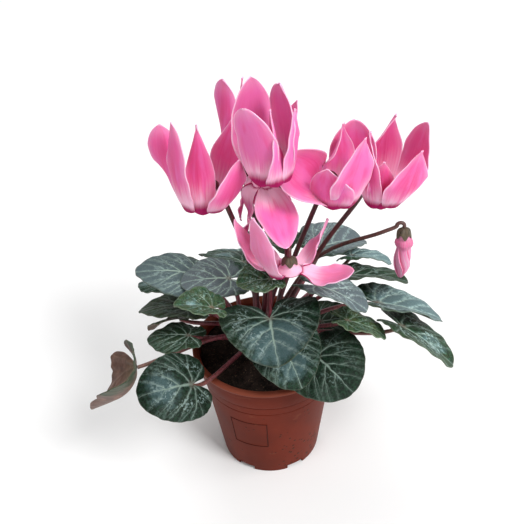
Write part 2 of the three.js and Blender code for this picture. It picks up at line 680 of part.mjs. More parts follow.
function budStalkGeometry() {
  const axis = new THREE.Vector3(0, 0, 1);
  const angle = radians(BUD_PLACE.stalkSide);
  const sideways = new THREE.Vector3(Math.cos(angle), Math.sin(angle), 0);
  const top = vector(BUD_PLACE.calyx);
  const bow = vector(BUD_PLACE.bow);
  const course = flowerStalkCurve(crownPlace(BUD_PLACE.root), top, axis, sideways, bow, BUD_HOOK);
  return rod(course, STALK.budRadius, 13);
}

// ---------------------------------------------------------------- assembly

const plant = new THREE.Group();

function add(name, geometry, color, roughness = 0.6) {
  const mesh = new THREE.Mesh(geometry, new THREE.MeshStandardMaterial({ color, roughness, metalness: 0 }));
  mesh.name = name;
  plant.add(mesh);
}

add('pot', potGeometry(), COLOUR.pot, 0.5);
add('soil', soilGeometry(tuberGeometry(CLEARANCE)), COLOUR.soil, 0.95);
add('tuber', tuberGeometry(), COLOUR.tuber, 0.9);
TRUNKS.forEach((trunk) => add(`leaf_stalks_${trunk}`, leafStalksGeometry(trunk), COLOUR.leafStalk));
LEAVES.forEach((spec) => add(spec.name, bladeGeometry(spec), spec.colour));
FLOWERS.forEach((spec) => {
  const { mouth, right, back, axis } = flowerFrame(spec);
  add(`${spec.name}_stalk`, flowerStalkGeometry(spec), COLOUR.flowerStalk);
  add(`${spec.name}_calyx`, calyxGeometry().applyMatrix4(frameAt(mouth, right, back, axis)), COLOUR.calyx);
  add(`${spec.name}_corolla`, corollaGeometry(spec), spec.colour, 0.5);
});
const budTop = vector(BUD_PLACE.calyx);
budTop.z -= CALYX.clear + CALYX.wall + CLEARANCE;
add('bud_stalk', budStalkGeometry(), COLOUR.budStalk);
add('bud_calyx', calyxGeometry(0.75).translate(budTop.x, budTop.y, budTop.z - TUBE.height), COLOUR.calyx);
add('bud', budGeometry().translate(budTop.x, budTop.y, budTop.z), COLOUR.petal, 0.5);

export default plant;
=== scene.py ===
"""A potted cyclamen, finished for looks.

Leaves with veins and silver marbling, petals with their blush and dark mouths, round stalks, a moulded pot
and crumbly soil each take the place of the plain solid that they stand for.

Positions are in millimetres until a mesh is written, then in metres. +Z is up and -Y is the plant's front.
"""

import math

import bpy
import numpy as np
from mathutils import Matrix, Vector


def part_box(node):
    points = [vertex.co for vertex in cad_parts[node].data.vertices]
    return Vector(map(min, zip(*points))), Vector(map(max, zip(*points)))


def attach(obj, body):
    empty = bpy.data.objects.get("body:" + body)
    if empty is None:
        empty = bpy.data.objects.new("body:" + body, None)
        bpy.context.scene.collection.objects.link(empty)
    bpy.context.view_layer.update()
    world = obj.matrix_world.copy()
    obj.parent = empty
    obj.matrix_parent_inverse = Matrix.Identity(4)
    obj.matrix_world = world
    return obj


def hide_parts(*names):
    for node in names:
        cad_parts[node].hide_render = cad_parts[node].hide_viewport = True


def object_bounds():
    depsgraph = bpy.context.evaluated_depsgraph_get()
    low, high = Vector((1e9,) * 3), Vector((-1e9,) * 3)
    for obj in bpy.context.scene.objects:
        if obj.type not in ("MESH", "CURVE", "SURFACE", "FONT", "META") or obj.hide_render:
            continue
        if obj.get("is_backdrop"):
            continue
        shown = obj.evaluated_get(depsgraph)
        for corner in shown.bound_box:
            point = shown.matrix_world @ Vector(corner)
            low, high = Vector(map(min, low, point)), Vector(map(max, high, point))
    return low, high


bl_info = {
    "name": "Potted Cyclamen",
    "version": (1, 0, 0),
    "blender": (4, 5, 0),
    "location": "View3D > Sidebar > Cyclamen",
    "description": "Dresses the solids of a potted cyclamen with fine leaves, flowers, stalks, pot and soil",
    "category": "Add Mesh",
}

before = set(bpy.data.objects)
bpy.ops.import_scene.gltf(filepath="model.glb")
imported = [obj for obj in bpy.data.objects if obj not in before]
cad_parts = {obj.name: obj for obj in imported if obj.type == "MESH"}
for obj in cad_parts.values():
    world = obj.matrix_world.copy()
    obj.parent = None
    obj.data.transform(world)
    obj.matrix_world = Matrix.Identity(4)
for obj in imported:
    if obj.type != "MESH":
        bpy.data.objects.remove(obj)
CAD_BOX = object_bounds()
POT_LOW, POT_HIGH = (np.array(corner) * 1000 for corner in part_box("pot"))
POT = {"rim": round(float(POT_HIGH[0] - POT_LOW[0]) / 2, 2), "height": round(float(POT_HIGH[2]), 2),
       "foot": 36, "wall": 1.4, "collar": 15, "rim_height": 3.5, "overhang": 3, "notches": 6,
       "first_notch": -62, "notch": (10, 13, 8), "drain_radius": 3, "drain_ring": 30}
PANEL = {"middle": -111, "half": 17.5, "low": 32.5, "high": 59, "line": 0.35}

# ------------------------------------------------------------------ the plant

# Each leaf: trunk, joint, (heading, pitch, roll), (length, width), shape, in millimetres and degrees. The
# shape holds the droop of the tip, the curl of the sides, the V of the two halves, the breadth of the
# shoulders, the wave of the edge, how the stalk arrives and rises, whether it meets the blade from below (-1)
# or above (1), and whether the blade shows its underside.
LEAF_SHAPE = {"droop": 20, "sides": 6, "fold": 10, "shoulder": 0.04, "wave": 0.9, "arrive": 35, "rise": 0.35,
              "meets": -1, "turned_over": False}
LEAVES = {
    "leaf_front": ("front", (3, -28, 142), (-85, 5, 3), (42, 65),
        {"sides": 0, "fold": 14, "shoulder": 0.1, "arrive": 60}),
    "leaf_front_lower": ("front", (10, -38, 132), (-74, -7, 14), (36, 46),
        {"droop": 34, "sides": 9, "shoulder": 0.06, "arrive": 50}),
    "leaf_front_right": ("front_right", (33, -38, 115), (-52, -6, 14), (34, 56),
        {"droop": 24, "fold": 7, "arrive": 5}),
    "leaf_front_left": ("front_left", (-49, -54, 112), (-147, 25, -35), (37, 46),
        {"droop": 54, "fold": 0, "rise": 0.2, "arrive": 55}),
    "leaf_far_left": ("front_left", (-85, -44, 120), (-82, -30, -115), (40, 56),
        {"droop": 108, "sides": -15, "fold": -28, "shoulder": -0.06, "arrive": 10, "meets": 1,
         "turned_over": True}),
    "leaf_left_lower": ("front_left", (-52, -20, 124), (170, 3, 10), (28, 38),
        {"sides": 17, "fold": 3, "shoulder": -0.08}),
    "leaf_left_olive": ("back_left", (-59, 3, 120), (170, -10, 35), (25, 28), {"droop": 30}),
    "leaf_left_middle": ("back_left", (-51, 5, 128), (168, 6, 17), (37, 48), {"droop": 28, "sides": 8}),
    "leaf_left_upper": ("back_left", (-47, 20, 145), (-177, 19, 5), (41, 54), {"sides": 15, "fold": 4}),
    "leaf_left_inner": ("back_left", (-23, 7, 149.5), (-173, 13, -1), (33, 43),
        {"droop": 25, "sides": 11, "arrive": 60}),
    "leaf_left_small": ("front_left", (-33.5, -32, 157), (-179, 20, 9), (24, 32),
        {"sides": -2, "fold": 16, "shoulder": 0.02, "arrive": 60}),
    "leaf_centre_small": ("front", (5, -24, 171), (-173, 7, -2), (22, 31),
        {"sides": 5, "fold": 18, "shoulder": -0.06, "arrive": 80}),
    "leaf_right_inner": ("front_right", (35, -17, 158), (-22, -4, -19), (36, 44),
        {"droop": 27, "fold": 13, "arrive": 60}),
    "leaf_right_small": ("front_right", (54, -26, 135), (-6, -15, -18), (28, 37), {"fold": 10}),
    "leaf_right_far": ("front_right", (78, -1, 128), (0, -12, -20), (47, 56),
        {"droop": 17, "sides": 0, "fold": 12, "arrive": -10}),
    "leaf_right_low": ("front_right", (92, -18, 120.5), (-25, -20, -24), (43, 53),
        {"sides": 4, "shoulder": 0}),
    "leaf_right_upper": ("back_right", (61, 17, 139), (-4, 4, -26), (40, 50), {"fold": 11}),
    "leaf_right_back": ("back_right", (66, 50, 132), (0, 2, -23), (30, 38), {"droop": 32}),
    "leaf_back_right": ("back_right", (45, 62, 132), (27, 1, -5), (37, 50), {"fold": 20}),
    "leaf_back": ("back", (7, 66, 135), (98, -5, 0), (38, 46), {"droop": 30, "arrive": 20}),
    "leaf_back_left": ("back", (-14, 49, 132), (145, 5, 28), (36, 48), {"droop": 29, "sides": 11}),
    "leaf_back_low": ("back", (-16, 84, 112), (100, -12, 0), (40, 52), {"droop": 35}),
    "leaf_back_left_low": ("back_left", (-62, 50, 118), (142, -8, 0), (38, 50), {"droop": 30}),
    "leaf_right_under": ("front_right", (40, 8, 106), (4, 8, 5), (26, 36), {"arrive": 42}),
}

# Each leaf's look: the silver of its band, how far its grey middle reaches, lightness, warmth and how strong
# its veins are. The grey middle is partly the leaf's own blue-grey and partly a painted bluish sheen. The
# lightness is partly the leaf's own tone and partly painted light and shade, brighter where a leaf catches
# more light.
LOOKS = {
    "leaf_front": (0.9, 0.54, 0.3, 0.0, 1.2),
    "leaf_front_lower": (0.9, 0.42, 0.33, 0.0, 1.3),
    "leaf_front_right": (0.4, 0.0, 0.28, 0.0, 1.1),
    "leaf_front_left": (1.0, 0.4, 0.25, 0.0, 0.9),
    "leaf_far_left": (0.3, 0.3, 0.6, 1.0, 0.5),
    "leaf_left_lower": (0.4, 0.0, 0.42, 0.1, 1.0),
    "leaf_left_olive": (0.1, 0.0, 0.45, 0.6, 0.3),
    "leaf_left_middle": (0.3, 0.0, 0.38, 0.2, 0.6),
    "leaf_left_upper": (0.6, 0.8, 0.34, 0.0, 1.5),
    "leaf_left_inner": (0.7, 0.9, 0.4, 0.0, 1.6),
    "leaf_left_small": (0.3, 0.3, 0.86, 0.15, 0.25),
    "leaf_centre_small": (0.5, 0.0, 0.9, 0.15, 0.35),
    "leaf_right_inner": (1.0, 0.85, 0.49, 0.0, 0.8),
    "leaf_right_small": (0.2, 0.0, 1.0, 0.2, 0.35),
    "leaf_right_far": (1.0, 0.75, 0.52, 0.0, 0.7),
    "leaf_right_low": (0.8, 0.35, 0.62, 0.1, 0.6),
    "leaf_right_upper": (0.6, 0.1, 0.44, 0.1, 0.9),
    "leaf_right_back": (0.7, 0.75, 0.67, 0.0, 0.5),
    "leaf_back_right": (0.8, 0.9, 0.47, 0.0, 0.7),
    "leaf_back": (0.4, 0.1, 0.35, 0.2, 0.8),
    "leaf_back_left": (0.5, 0.4, 0.46, 0.0, 0.8),
    "leaf_back_low": (0.5, 0.4, 0.45, 0.0, 0.9),
    "leaf_back_left_low": (0.5, 0.5, 0.45, 0.0, 0.9),
    "leaf_right_under": (0.3, 0.0, 0.3, 0.1, 0.7),
}
TRUNKS = ("front", "front_right", "back_right", "back", "back_left", "front_left")
TUBER = {"radius": 20, "half_height": 12, "centre": (0, 4, 81)}
CROWN = {"trunk_ring": 12.5, "trunk_radius": 4.6, "trunk_height": 9, "flower_ring": 6.1}
SOIL = {"top": 87, "radius": 47.6, "crumbs_within": 46.2, "thickness": 3}
LEAF_STALK = {"radius": 1.5, "taper": 0.25, "root_ring": 0.45 * CROWN["trunk_radius"]}

# Each flower: mouth, stalk's side, petals, where round the crown its stalk roots, the stalk's bow, and how
# pale and how violet it is. Each petal: azimuth, lean, length, width, twist, curl and swing, in millimetres
# and degrees, and how pointed its tip is, from 0 to 1.
FLOWERS = {
    "flower_left": ((-34, -5, 217), 5, (
        (170, 8, 62, 24, 75, 30, 25, 0.2),
        (215, 2, 68, 24, -10, 25, 0, 0.2),
        (270, -12, 62, 18, -10, 15, -5, 1.0),
        (50, 24, 60, 24, 20, 25, 0, 0.9),
        (318, 22, 52, 30, -20, 35, 25, 0.6)), 205, (6, 4, 0), (0.0, 0.1)),
    "flower_top": ((7, -20, 243), 70, (
        (240, 12, 60, 26, 10, -20, -10, 0.0),
        (125, 0, 65, 30, 5, 35, -5, 0.2),
        (20, -6, 64, 30, -10, 20, 20, 0.1),
        (290, -8, 54, 16, 80, 40, 15, 0.8),
        (335, 5, 52, 20, 5, 15, -5, 0.6)), 20, (10, 10, 0), (0.05, 0.8)),
    "flower_middle": ((4, 6, 224), 70, (
        (282, 130, 42, 26, -10, -35, 20, 0.0),
        (220, 168, 40, 16, 55, 15, -15, 0.4),
        (0, 168, 32, 12, 0, 0, 0, 0.3),
        (105, 168, 32, 12, 0, 0, 0, 0.3),
        (170, 168, 32, 12, 0, 0, 0, 0.3)), 160, (-5, 4, 0), (0.0, 0.4)),
    "flower_back": ((-5, 30, 217), 260, (
        (160, 0, 70, 28, 30, 25, 40, 0.1),
        (105, -3, 71, 19, 75, 55, 20, 0.9),
        (215, -7, 52, 16, 10, 15, -5, 0.5),
        (20, 24, 57, 24, 20, 20, -20, 0.5),
        (335, -12, 55, 14, 20, 35, 0, 0.3)), 100, (7, -4, 0), (0.0, 0.4)),
    "flower_right_inner": ((48, -8, 218), 130, (
        (190, 35, 43, 36, -65, -45, -35, 0.0),
        (85, -7, 54, 24, 45, 45, 40, 0.9),
        (60, 16, 52, 30, 15, 50, 0, 0.0),
        (295, 15, 62, 32, 10, 10, 10, 0.8),
        (250, 14, 40, 28, -5, 16, -10, 0.4)), 290, (-2, 6, 0), (0.0, 0.5)),
    "flower_right": ((77, 5, 208), 140, (
        (85, -14, 69, 26, 30, 60, 30, 0.8),
        (235, 4, 62, 18, -30, 20, -25, 0.8),
        (25, 21, 57, 28, 0, 40, -5, 0.0),
        (305, 19, 55, 32, -40, 25, 35, 0.9),
        (262, 6, 42, 18, 15, 5, 10, 0.7)), 330, (0, 8, 6), (0.0, 0.0)),
    "flower_front_low": ((17, -26, 179), 95, (
        (215, 12, 57, 22, 20, 30, -15, 0.2),
        (165, 28, 49, 17, 0, 55, -5, 0.6),
        (40, 40, 38, 16, -60, 30, -5, 0.3),
        (345, 72, 36, 20, 5, 50, -5, 0.0),
        (145, 24, 42, 14, 10, 20, 30, 0.3)), 250, (-1, 8, 0), (0.4, 0.1)),
}
BUD = {"calyx": (92.5, 0, 189), "side": 180, "root": 60, "bow": (-6, 18, 8)}

# A tube narrows up from its mouth into the calyx, whose sepals reach down it and end in points.
TUBE = {"height": 9.2, "mouth": 7.6}
GAP = 0.3  # between pieces that touch on the real plant
UP = np.array([0, 0, 1])
CALYX = {"wall": 0.8, "clear": 0.35, "reach": 2.852, "points": 2.5, "thickness": 0.6}
CALYX_TOP = TUBE["height"] + CALYX["clear"] + CALYX["wall"]

# A petal leaves the mouth's rim at the start angle from upright, and has turned up after the turn's length.
# Its foot is this wide, and it is widest at this share of its length.
PETAL = {"start": 112, "turn": 9, "foot": 11, "widest": 0.52, "steps": 240}

# The bud's girth: distance down from under the calyx, and radius.
BUD_GIRTH = ((0, 0.2), (0.5, 1.6), (4, 3.4), (7, 4.1), (8.6, 5.3), (10.5, 5.7), (12.5, 5.2), (14.5, 4.6),
             (18, 5.1), (23, 5.7), (28, 5.5), (33, 4.3), (36.5, 2.7), (38.5, 1.6), (39, 0.1))

# A flower stalk ends in a hook. Its stem has a radius at the foot and one at the top.
HOOK = {"radius": 4.8, "drop": 12, "splay": 4, "stem": (1.75, 1.5)}
BUD_HOOK = {"radius": 2.6, "drop": 4, "splay": 9, "stem": (1.5, 1.2)}
HOOK_STEPS = 5
SPREAD = math.radians(162)  # how far round from its midrib a leaf's lobes reach
LOBE = 2.42  # where, in radians round from the midrib, the lobes start to round off

# The main veins, in shares of the blade's length: where each pair leaves the midrib, how it slants
# forwards or back, how it curves forwards, and where it forks.
VEINS = (
    (0.00, -1.25, 0.60, 0.30),
    (0.00, -0.25, 0.90, 0.28),
    (0.02, 0.42, 1.15, 0.24),
    (0.24, 0.70, 1.30, 0.20),
    (0.50, 0.95, 1.50, 0.50),
)
FAR = 9  # added to the distance from a vein where the vein doesn't run

# How many faces each skin has across and along, and each turned body round its axis.
GRIDS = {"leaf": (168, 26), "petal": (18, 52), "calyx": (50, 12), "bud": (90, 70), "soil": (150, 70),
         "tube": 40, "pot": 144}

# Metres, and degrees of roll. Each lamp has its place, its size and its share of the power.
CAMERA = {"place": (0, -0.430, 0.485), "target": (0, 0, 0.167), "roll": -3, "lens": 55.86, "sensor": 36}
LAMPS = {"key": ((1.8, -1.8, 2.7), 1.2, 0.95), "fill": ((-1.5, -1.7, 3.1), 1.8, 0.34),
         "side": ((2.7, -0.1, 1.2), 1.2, 0.2), "top": ((-0.3, 1.8, 3.2), 2.4, 0.5)}


# ------------------------------------------------------------------ settings

def number(name, description, default, **more):
    return bpy.props.FloatProperty(name=name, description=description, default=default, **more)


def millimetres(name, description, default):
    return number(name, description, default / 1000, subtype="DISTANCE", unit="LENGTH", min=0.0)


def colour(name, description, default):
    return bpy.props.FloatVectorProperty(
        name=name, description=description, default=default, subtype="COLOR", size=3, min=0.0, max=1.0)


class LeafSettings(bpy.types.PropertyGroup):
    thickness: millimetres("Thickness", "Thickness of a leaf blade", 0.7)
    relief: millimetres("Relief", "How far a blade bulges between its veins", 0.5)
    teeth: bpy.props.IntProperty(name="Teeth", description="Teeth along a blade's edge", default=76, min=8)
    green: colour("Green", "The dark green of the blade", (0.011, 0.040, 0.019))
    silver: colour("Silver", "The silver marbling", (0.38, 0.52, 0.51))
    # The blade's blue-grey middle: partly the leaf's own colour, partly a painted bluish sheen.
    slate_and_sheen: colour("Slate", "The blue-grey of the blade's middle", (0.078, 0.145, 0.148))
    vein: colour("Vein", "The pale veins", (0.50, 0.68, 0.57))
    underside: colour("Underside", "The red-brown of the underside", (0.105, 0.056, 0.042))
    stalk: colour("Stalk", "The purple-red of a leaf stalk", (0.16, 0.030, 0.042))


class FlowerSettings(bpy.types.PropertyGroup):
    thickness: millimetres("Thickness", "Thickness of a petal", 0.6)
    pink: colour("Pink", "The petals' pink", (0.80, 0.115, 0.35))
    violet: colour("Violet", "The cooler pink clouded over the petals", (0.79, 0.165, 0.46))
    # The deep pink is partly the petal's own colour and partly painted shade in the hollow of the cupped
    # petal.
    deep: colour("Deep pink", "The streak up the middle of a petal", (0.68, 0.048, 0.19))
    pale: colour("Pale pink", "The petals' foot", (0.88, 0.50, 0.66))
    # The pale rim is partly the petal's own pale edge and partly a painted highlight along its edges.
    rim: colour("Rim", "The petals' pale rim", (0.94, 0.55, 0.74))
    mouth: colour("Mouth", "The dark ring round the mouth", (0.36, 0.005, 0.095))
    calyx: colour("Calyx", "The calyx", (0.070, 0.052, 0.030))
    stalk: colour("Stalk", "The maroon of a flower stalk", (0.075, 0.012, 0.016))
    bud_stalk: colour("Bud stalk", "The red-brown of the bud's stalk", (0.085, 0.028, 0.024))


class PotSettings(bpy.types.PropertyGroup):
    plastic: colour("Plastic", "The pot's terracotta-brown plastic", (0.126, 0.0190, 0.0092))
    soil: colour("Soil", "The potting soil", (0.014, 0.009, 0.007))
    crumbs: bpy.props.IntProperty(name="Crumbs", description="Loose crumbs on the soil", default=1500, min=0)


class StageSettings(bpy.types.PropertyGroup):
    floor: colour("Floor", "The pale floor", (0.92, 0.92, 0.92))
    lamp: number("Lamp", "Power of the main lamp", 105.0, unit="POWER", min=0.0)
    sky: number("Sky", "Strength of the light from all round", 0.29, min=0.0)


# ------------------------------------------------------------------ node materials

class Value:
    """A shader socket that arithmetic works on."""

    def __init__(self, paint, socket):
        self.paint = paint
        self.socket = socket

    def maths(self, operation, *others):
        return self.paint.node("ShaderNodeMath", {"operation": operation}, dict(enumerate((self, *others))))

    def __add__(self, other):
        return self.maths("ADD", other)

    def __mul__(self, other):
        return self.maths("MULTIPLY", other)

    def __sub__(self, other):
        return self.maths("SUBTRACT", other)

    def __truediv__(self, other):
        return self.maths("DIVIDE", other)

    def __pow__(self, other):
        return self.maths("POWER", other)

    def __rsub__(self, other):
        return (self * -1) + other

    def __lt__(self, other):
        return self.maths("LESS_THAN", other)

    def __abs__(self):
        return self.maths("ABSOLUTE")

    __radd__ = __add__
    __rmul__ = __mul__


class Paint:
    """A material in the making: its nodes, and the shader that they feed."""

    def __init__(self, name, **finish):
        self.material = bpy.data.materials.new(name)
        self.material.use_nodes = True
        self.tree = self.material.node_tree
        self.shader = self.tree.nodes["Principled BSDF"]
        for socket, value in finish.items():
            self.put(self.shader.inputs[socket.replace("_", " ")], value)

    def put(self, socket, value):
        """Links the value to the socket, or sets the socket to it. A colour gets an alpha of 1."""
        if isinstance(value, Value):
            self.tree.links.new(value.socket, socket)
        elif hasattr(value, "__len__") and len(socket.default_value) == 4:
            socket.default_value = (*value, 1)
        else:
            socket.default_value = value

    def node(self, kind, settings=None, inputs=None, output=0):
        made = self.tree.nodes.new(kind)
        for key, value in (settings or {}).items():
            setattr(made, key, value)
        for key, value in (inputs or {}).items():
            self.put(made.inputs[key], value)
        return Value(self, made.outputs[output])

    def colour(self, value):
        self.put(self.shader.inputs["Base Color"], value)
        return self

    def roughness(self, value):
        self.put(self.shader.inputs["Roughness"], value)
        return self

    def bump(self, height, distance, strength):
        bump = self.node("ShaderNodeBump", {}, {"Height": height, "Distance": distance, "Strength": strength})
        self.put(self.shader.inputs["Normal"], bump)
        return self

    def mix(self, low, high, share):
        return self.node("ShaderNodeMix", {"data_type": "RGBA"}, {0: share, 6: low, 7: high}, 2)

    def shades(self, tint, dark, light, share):
        """From the tint times dark to the tint times light."""
        return self.mix(*(tuple(v * times for v in tint) for times in (dark, light)), share)

    def over(self, base, *layers):
        """The base with each layer's colour laid over it by its share."""
        for tint, share in layers:
            base = self.mix(base, tint, share)
        return base

    def place(self):
        return self.node("ShaderNodeTexCoord", output=3)

    def vector(self, *numbers):
        return self.node("ShaderNodeCombineXYZ", {}, dict(enumerate(numbers)))

    def numbers(self, vector):
        return [self.node("ShaderNodeSeparateXYZ", {}, {0: vector}, axis) for axis in range(3)]

    def attribute(self, name):
        """What a piece carries under this name, as a vector and as three numbers."""
        vector = self.node("ShaderNodeAttribute", {"attribute_name": name}, output=1)
        return vector, self.numbers(vector)

    def texture(self, kind, settings, vector, scale, **inputs):
        """A texture with one scale, or with one for each axis."""
        if isinstance(scale, tuple):
            vector = self.node("ShaderNodeVectorMath", {"operation": "MULTIPLY"}, {0: vector, 1: scale})
            scale = 1
        return self.node(kind, settings, {"Vector": vector, "Scale": scale, **inputs})

    def noise(self, vector, scale, detail=3, distortion=0):
        return self.texture("ShaderNodeTexNoise", {}, vector, scale, Detail=detail, Distortion=distortion)

    def cells(self, vector, scale, feature="F1"):
        return self.texture("ShaderNodeTexVoronoi", {"feature": feature}, vector, scale)

    def step(self, value, low, high):
        """0 up to low, 1 past high, and a smooth slope between them."""
        return self.node("ShaderNodeMapRange", {"interpolation_type": "SMOOTHSTEP"}, {
            "Value": value, "From Min": low, "From Max": high})

    def fall(self, value, low, high):
        """1 up to low, 0 past high, and a smooth slope between them."""
        return 1 - self.step(value, low, high)


# ------------------------------------------------------------------ points and lines

def ramp(t):
    """A smooth rise from 0 to 1."""
    t = np.clip(t, 0, 1)
    return t * t * (3 - 2 * t)


def unit(vector):
    return vector / np.linalg.norm(vector)


def polar(angle, radius, height=0):
    """The point, or a row for each, at an angle and radius about the upright axis."""
    return np.stack(np.broadcast_arrays(radius * np.cos(angle), radius * np.sin(angle), height), -1)


def turned(vector, axis, angle):
    """The vector turned about a unit axis. All three may be rows of many."""
    cos, sin = np.cos(angle)[..., None], np.sin(angle)[..., None]
    along = (vector * axis).sum(-1, keepdims=True)
    return vector * cos + np.cross(axis, vector) * sin + axis * along * (1 - cos)


def sampled(rows, share):
    """The rows, as a line from the first (0) to the last (1), at each share of it."""
    at = share * (len(rows) - 1)
    low = np.minimum(at.astype(int), len(rows) - 2)
    part = (at - low)[:, None]
    return rows[low] * (1 - part) + rows[low + 1] * part


def smooth_line(points, per=8):
    """A line through the points, as a centripetal Catmull-Rom spline."""
    points = [np.asarray(p, float) for p in points]
    points = [2 * points[0] - points[1], *points, 2 * points[-1] - points[-2]]
    line = []
    for p0, p1, p2, p3 in zip(points, points[1:], points[2:], points[3:]):
        d0, d1, d2 = (max(np.linalg.norm(b - a), 1e-4) ** 0.5 for a, b in ((p0, p1), (p1, p2), (p2, p3)))
        m1 = ((p1 - p0) / d0 - (p2 - p0) / (d0 + d1) + (p2 - p1) / d1) * d1
        m2 = ((p2 - p1) / d1 - (p3 - p1) / (d1 + d2) + (p3 - p2) / d2) * d1
        for t in np.arange(per) / per:
            line.append((2 * t ** 3 - 3 * t ** 2 + 1) * p1 + (t ** 3 - 2 * t ** 2 + t) * m1
                        + (3 * t ** 2 - 2 * t ** 3) * p2 + (t ** 3 - t ** 2) * m2)
    line.append(points[-2])
    return np.array(line)


# ------------------------------------------------------------------ making pieces

def deselect():
    bpy.ops.object.select_all(action="DESELECT")


def take(piece):
    deselect()
    piece.select_set(True)
    bpy.context.view_layer.objects.active = piece


def apply(piece, kind, **settings):
    take(piece)
    modifier = piece.modifiers.new(kind.title(), kind)
    for key, value in settings.items():
        setattr(modifier, key, value)
    bpy.ops.object.modifier_apply(modifier=modifier.name)


def thicken(piece, thickness, offset, **settings):
    apply(piece, "SOLIDIFY", thickness=thickness, offset=offset, use_even_offset=False, **settings)


def smooth_shade(piece, angle):
    take(piece)
    bpy.ops.object.shade_smooth_by_angle(angle=math.radians(angle))


def edit(piece, step, **settings):
    """Runs one mesh step on the whole piece."""
    take(piece)
    bpy.ops.object.mode_set(mode="EDIT")
    bpy.ops.mesh.select_all(action="SELECT")
    step(**settings)
    bpy.ops.object.mode_set(mode="OBJECT")


def merge(piece):
    edit(piece, bpy.ops.mesh.remove_doubles, threshold=1e-5)


def outward(piece):
    edit(piece, bpy.ops.mesh.normals_make_consistent, inside=False)


def join(pieces, name):
    take(pieces[0])
    for piece in pieces:
        piece.select_set(True)
    bpy.ops.object.join()
    bpy.context.object.name = name
    return bpy.context.object


def positions(piece):
    flat = np.empty(len(piece.data.vertices) * 3)
    piece.data.vertices.foreach_get("co", flat)
    return flat.reshape(-1, 3)


def place_points(piece, points):
    """Writes the points, in millimetres, as the piece's vertices."""
    piece.data.vertices.foreach_set("co", (points / 1000).ravel())
    piece.data.update()


def skin(name, columns, rows, surface, notes=None):
    """A grid laid on a surface. Its u runs across and its v along, both from 0 to 1.

    Notes are for the materials to read: names, each with three numbers for every vertex.
    """
    deselect()
    bpy.ops.mesh.primitive_grid_add(x_subdivisions=columns, y_subdivisions=rows, size=1, calc_uvs=True)
    piece = bpy.context.object
    piece.name = name
    u, v = positions(piece)[:, :2].T + 0.5
    place_points(piece, surface(u, v))
    for key, values in (notes(u, v) if notes else {}).items():
        layer = piece.data.attributes.new(key, "FLOAT_VECTOR", "POINT")
        rows_of_three = np.stack([np.broadcast_to(value, u.shape) for value in values], 1)
        layer.data.foreach_set("vector", rows_of_three.astype(np.float32).ravel())
    return piece


def revolve(name, profile, sides, centre=(0, 0, 0), notes=None):
    """A closed body turned about an upright axis. Its profile of radii and heights starts and ends there."""
    profile = np.array(profile, float)

    def surface(u, v):
        radius, height = profile[np.rint(v * (len(profile) - 1)).astype(int)].T
        return centre + polar(2 * math.pi * u, radius, height)

    piece = skin(name, sides, len(profile) - 1, surface, notes)
    merge(piece)
    outward(piece)
    return piece


def rod(name, lines, sides=12):
    """Round rods along lines of points, each line with its points' radii, in one piece."""
    curve = bpy.data.curves.new(name, "CURVE")
    curve.dimensions = "3D"
    curve.bevel_depth = 0.001
    curve.bevel_resolution = sides // 4 - 1
    curve.use_fill_caps = True
    for points, radii in lines:
        spline = curve.splines.new("POLY")
        spline.points.add(len(points) - 1)
        for place, point, radius in zip(spline.points, points, radii):
            place.co = (*(point / 1000), 1)
            place.radius = radius
    piece = bpy.data.objects.new(name, curve)
    bpy.context.scene.collection.objects.link(piece)
    take(piece)
    bpy.ops.object.convert(target="MESH")
    piece = bpy.context.object
    outward(piece)
    smooth_shade(piece, 60)
    return piece


def wear(piece, *materials):
    for material in materials:
        piece.data.materials.append(material)


def finish(piece, slot, *nodes, materials=()):
    """The piece rides on the plant, stands for its nodes and wears its materials."""
    wear(piece, *materials)
    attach(piece, "root")
    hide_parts(*nodes)


# ------------------------------------------------------------------ leaves

def leaf_frame(turns):
    """A blade's own directions: forward, to its left, and up from its upper face."""
    heading, pitch, roll = np.radians(turns)
    forward = polar(heading, math.cos(pitch), math.sin(pitch))
    side = turned(unit(np.cross((0, 0, 1), forward)), forward, roll)
    return forward, side, np.cross(forward, side)


def heart(angle, shoulder):
    """The outline's distance from the joint, as a share of the distance from joint to tip."""
    lobe = 1 - 0.3 * np.clip((abs(angle) - LOBE) / (SPREAD - LOBE), 0, 1) ** 2.5
    oval = 0.6 + 0.18 * np.cos(angle) + 0.08 * np.cos(2 * angle) + 0.14 * np.exp(-((angle / 0.45) ** 2))
    return lobe * (oval + shoulder * np.exp(-(((abs(angle) - 1.8) / 0.6) ** 2)))


def arc(distance, full, degrees):
    """How far along and how far up a distance comes, on a line that bends down over its full length."""
    bend = math.radians(degrees) / full
    if abs(bend) < 1e-6:
        return distance, 0 * distance
    return np.sin(bend * distance) / bend, (np.cos(bend * distance) - 1) / bend


def vein_distances(x, y, least):
    """How far a point of the blade lies from its midrib, its nearest side vein and its nearest fork.

    The point is given in numbers or in shader values, and least picks the smaller of two of them.
    """
    out = (y * y + 1e-7) ** 0.5
    midrib, main, fork = out + (x < 0) * FAR, None, None
    for start, slant, curve, forks in VEINS:
        slope = ((out * (2 * curve) + slant) ** 2 + 1) ** 0.5
        behind = x - (out * out * curve + out * slant + start)
        vein = abs(behind) / slope
        main = vein if main is None else least(main, vein)
        past = out - forks
        twig = abs(behind + past * 0.75) / slope + (past < 0) * FAR
        twig = least(twig, abs(behind - past * 0.55) / slope + (past < 0.06) * FAR)
        fork = twig if fork is None else least(fork, twig)
    return midrib, main, fork


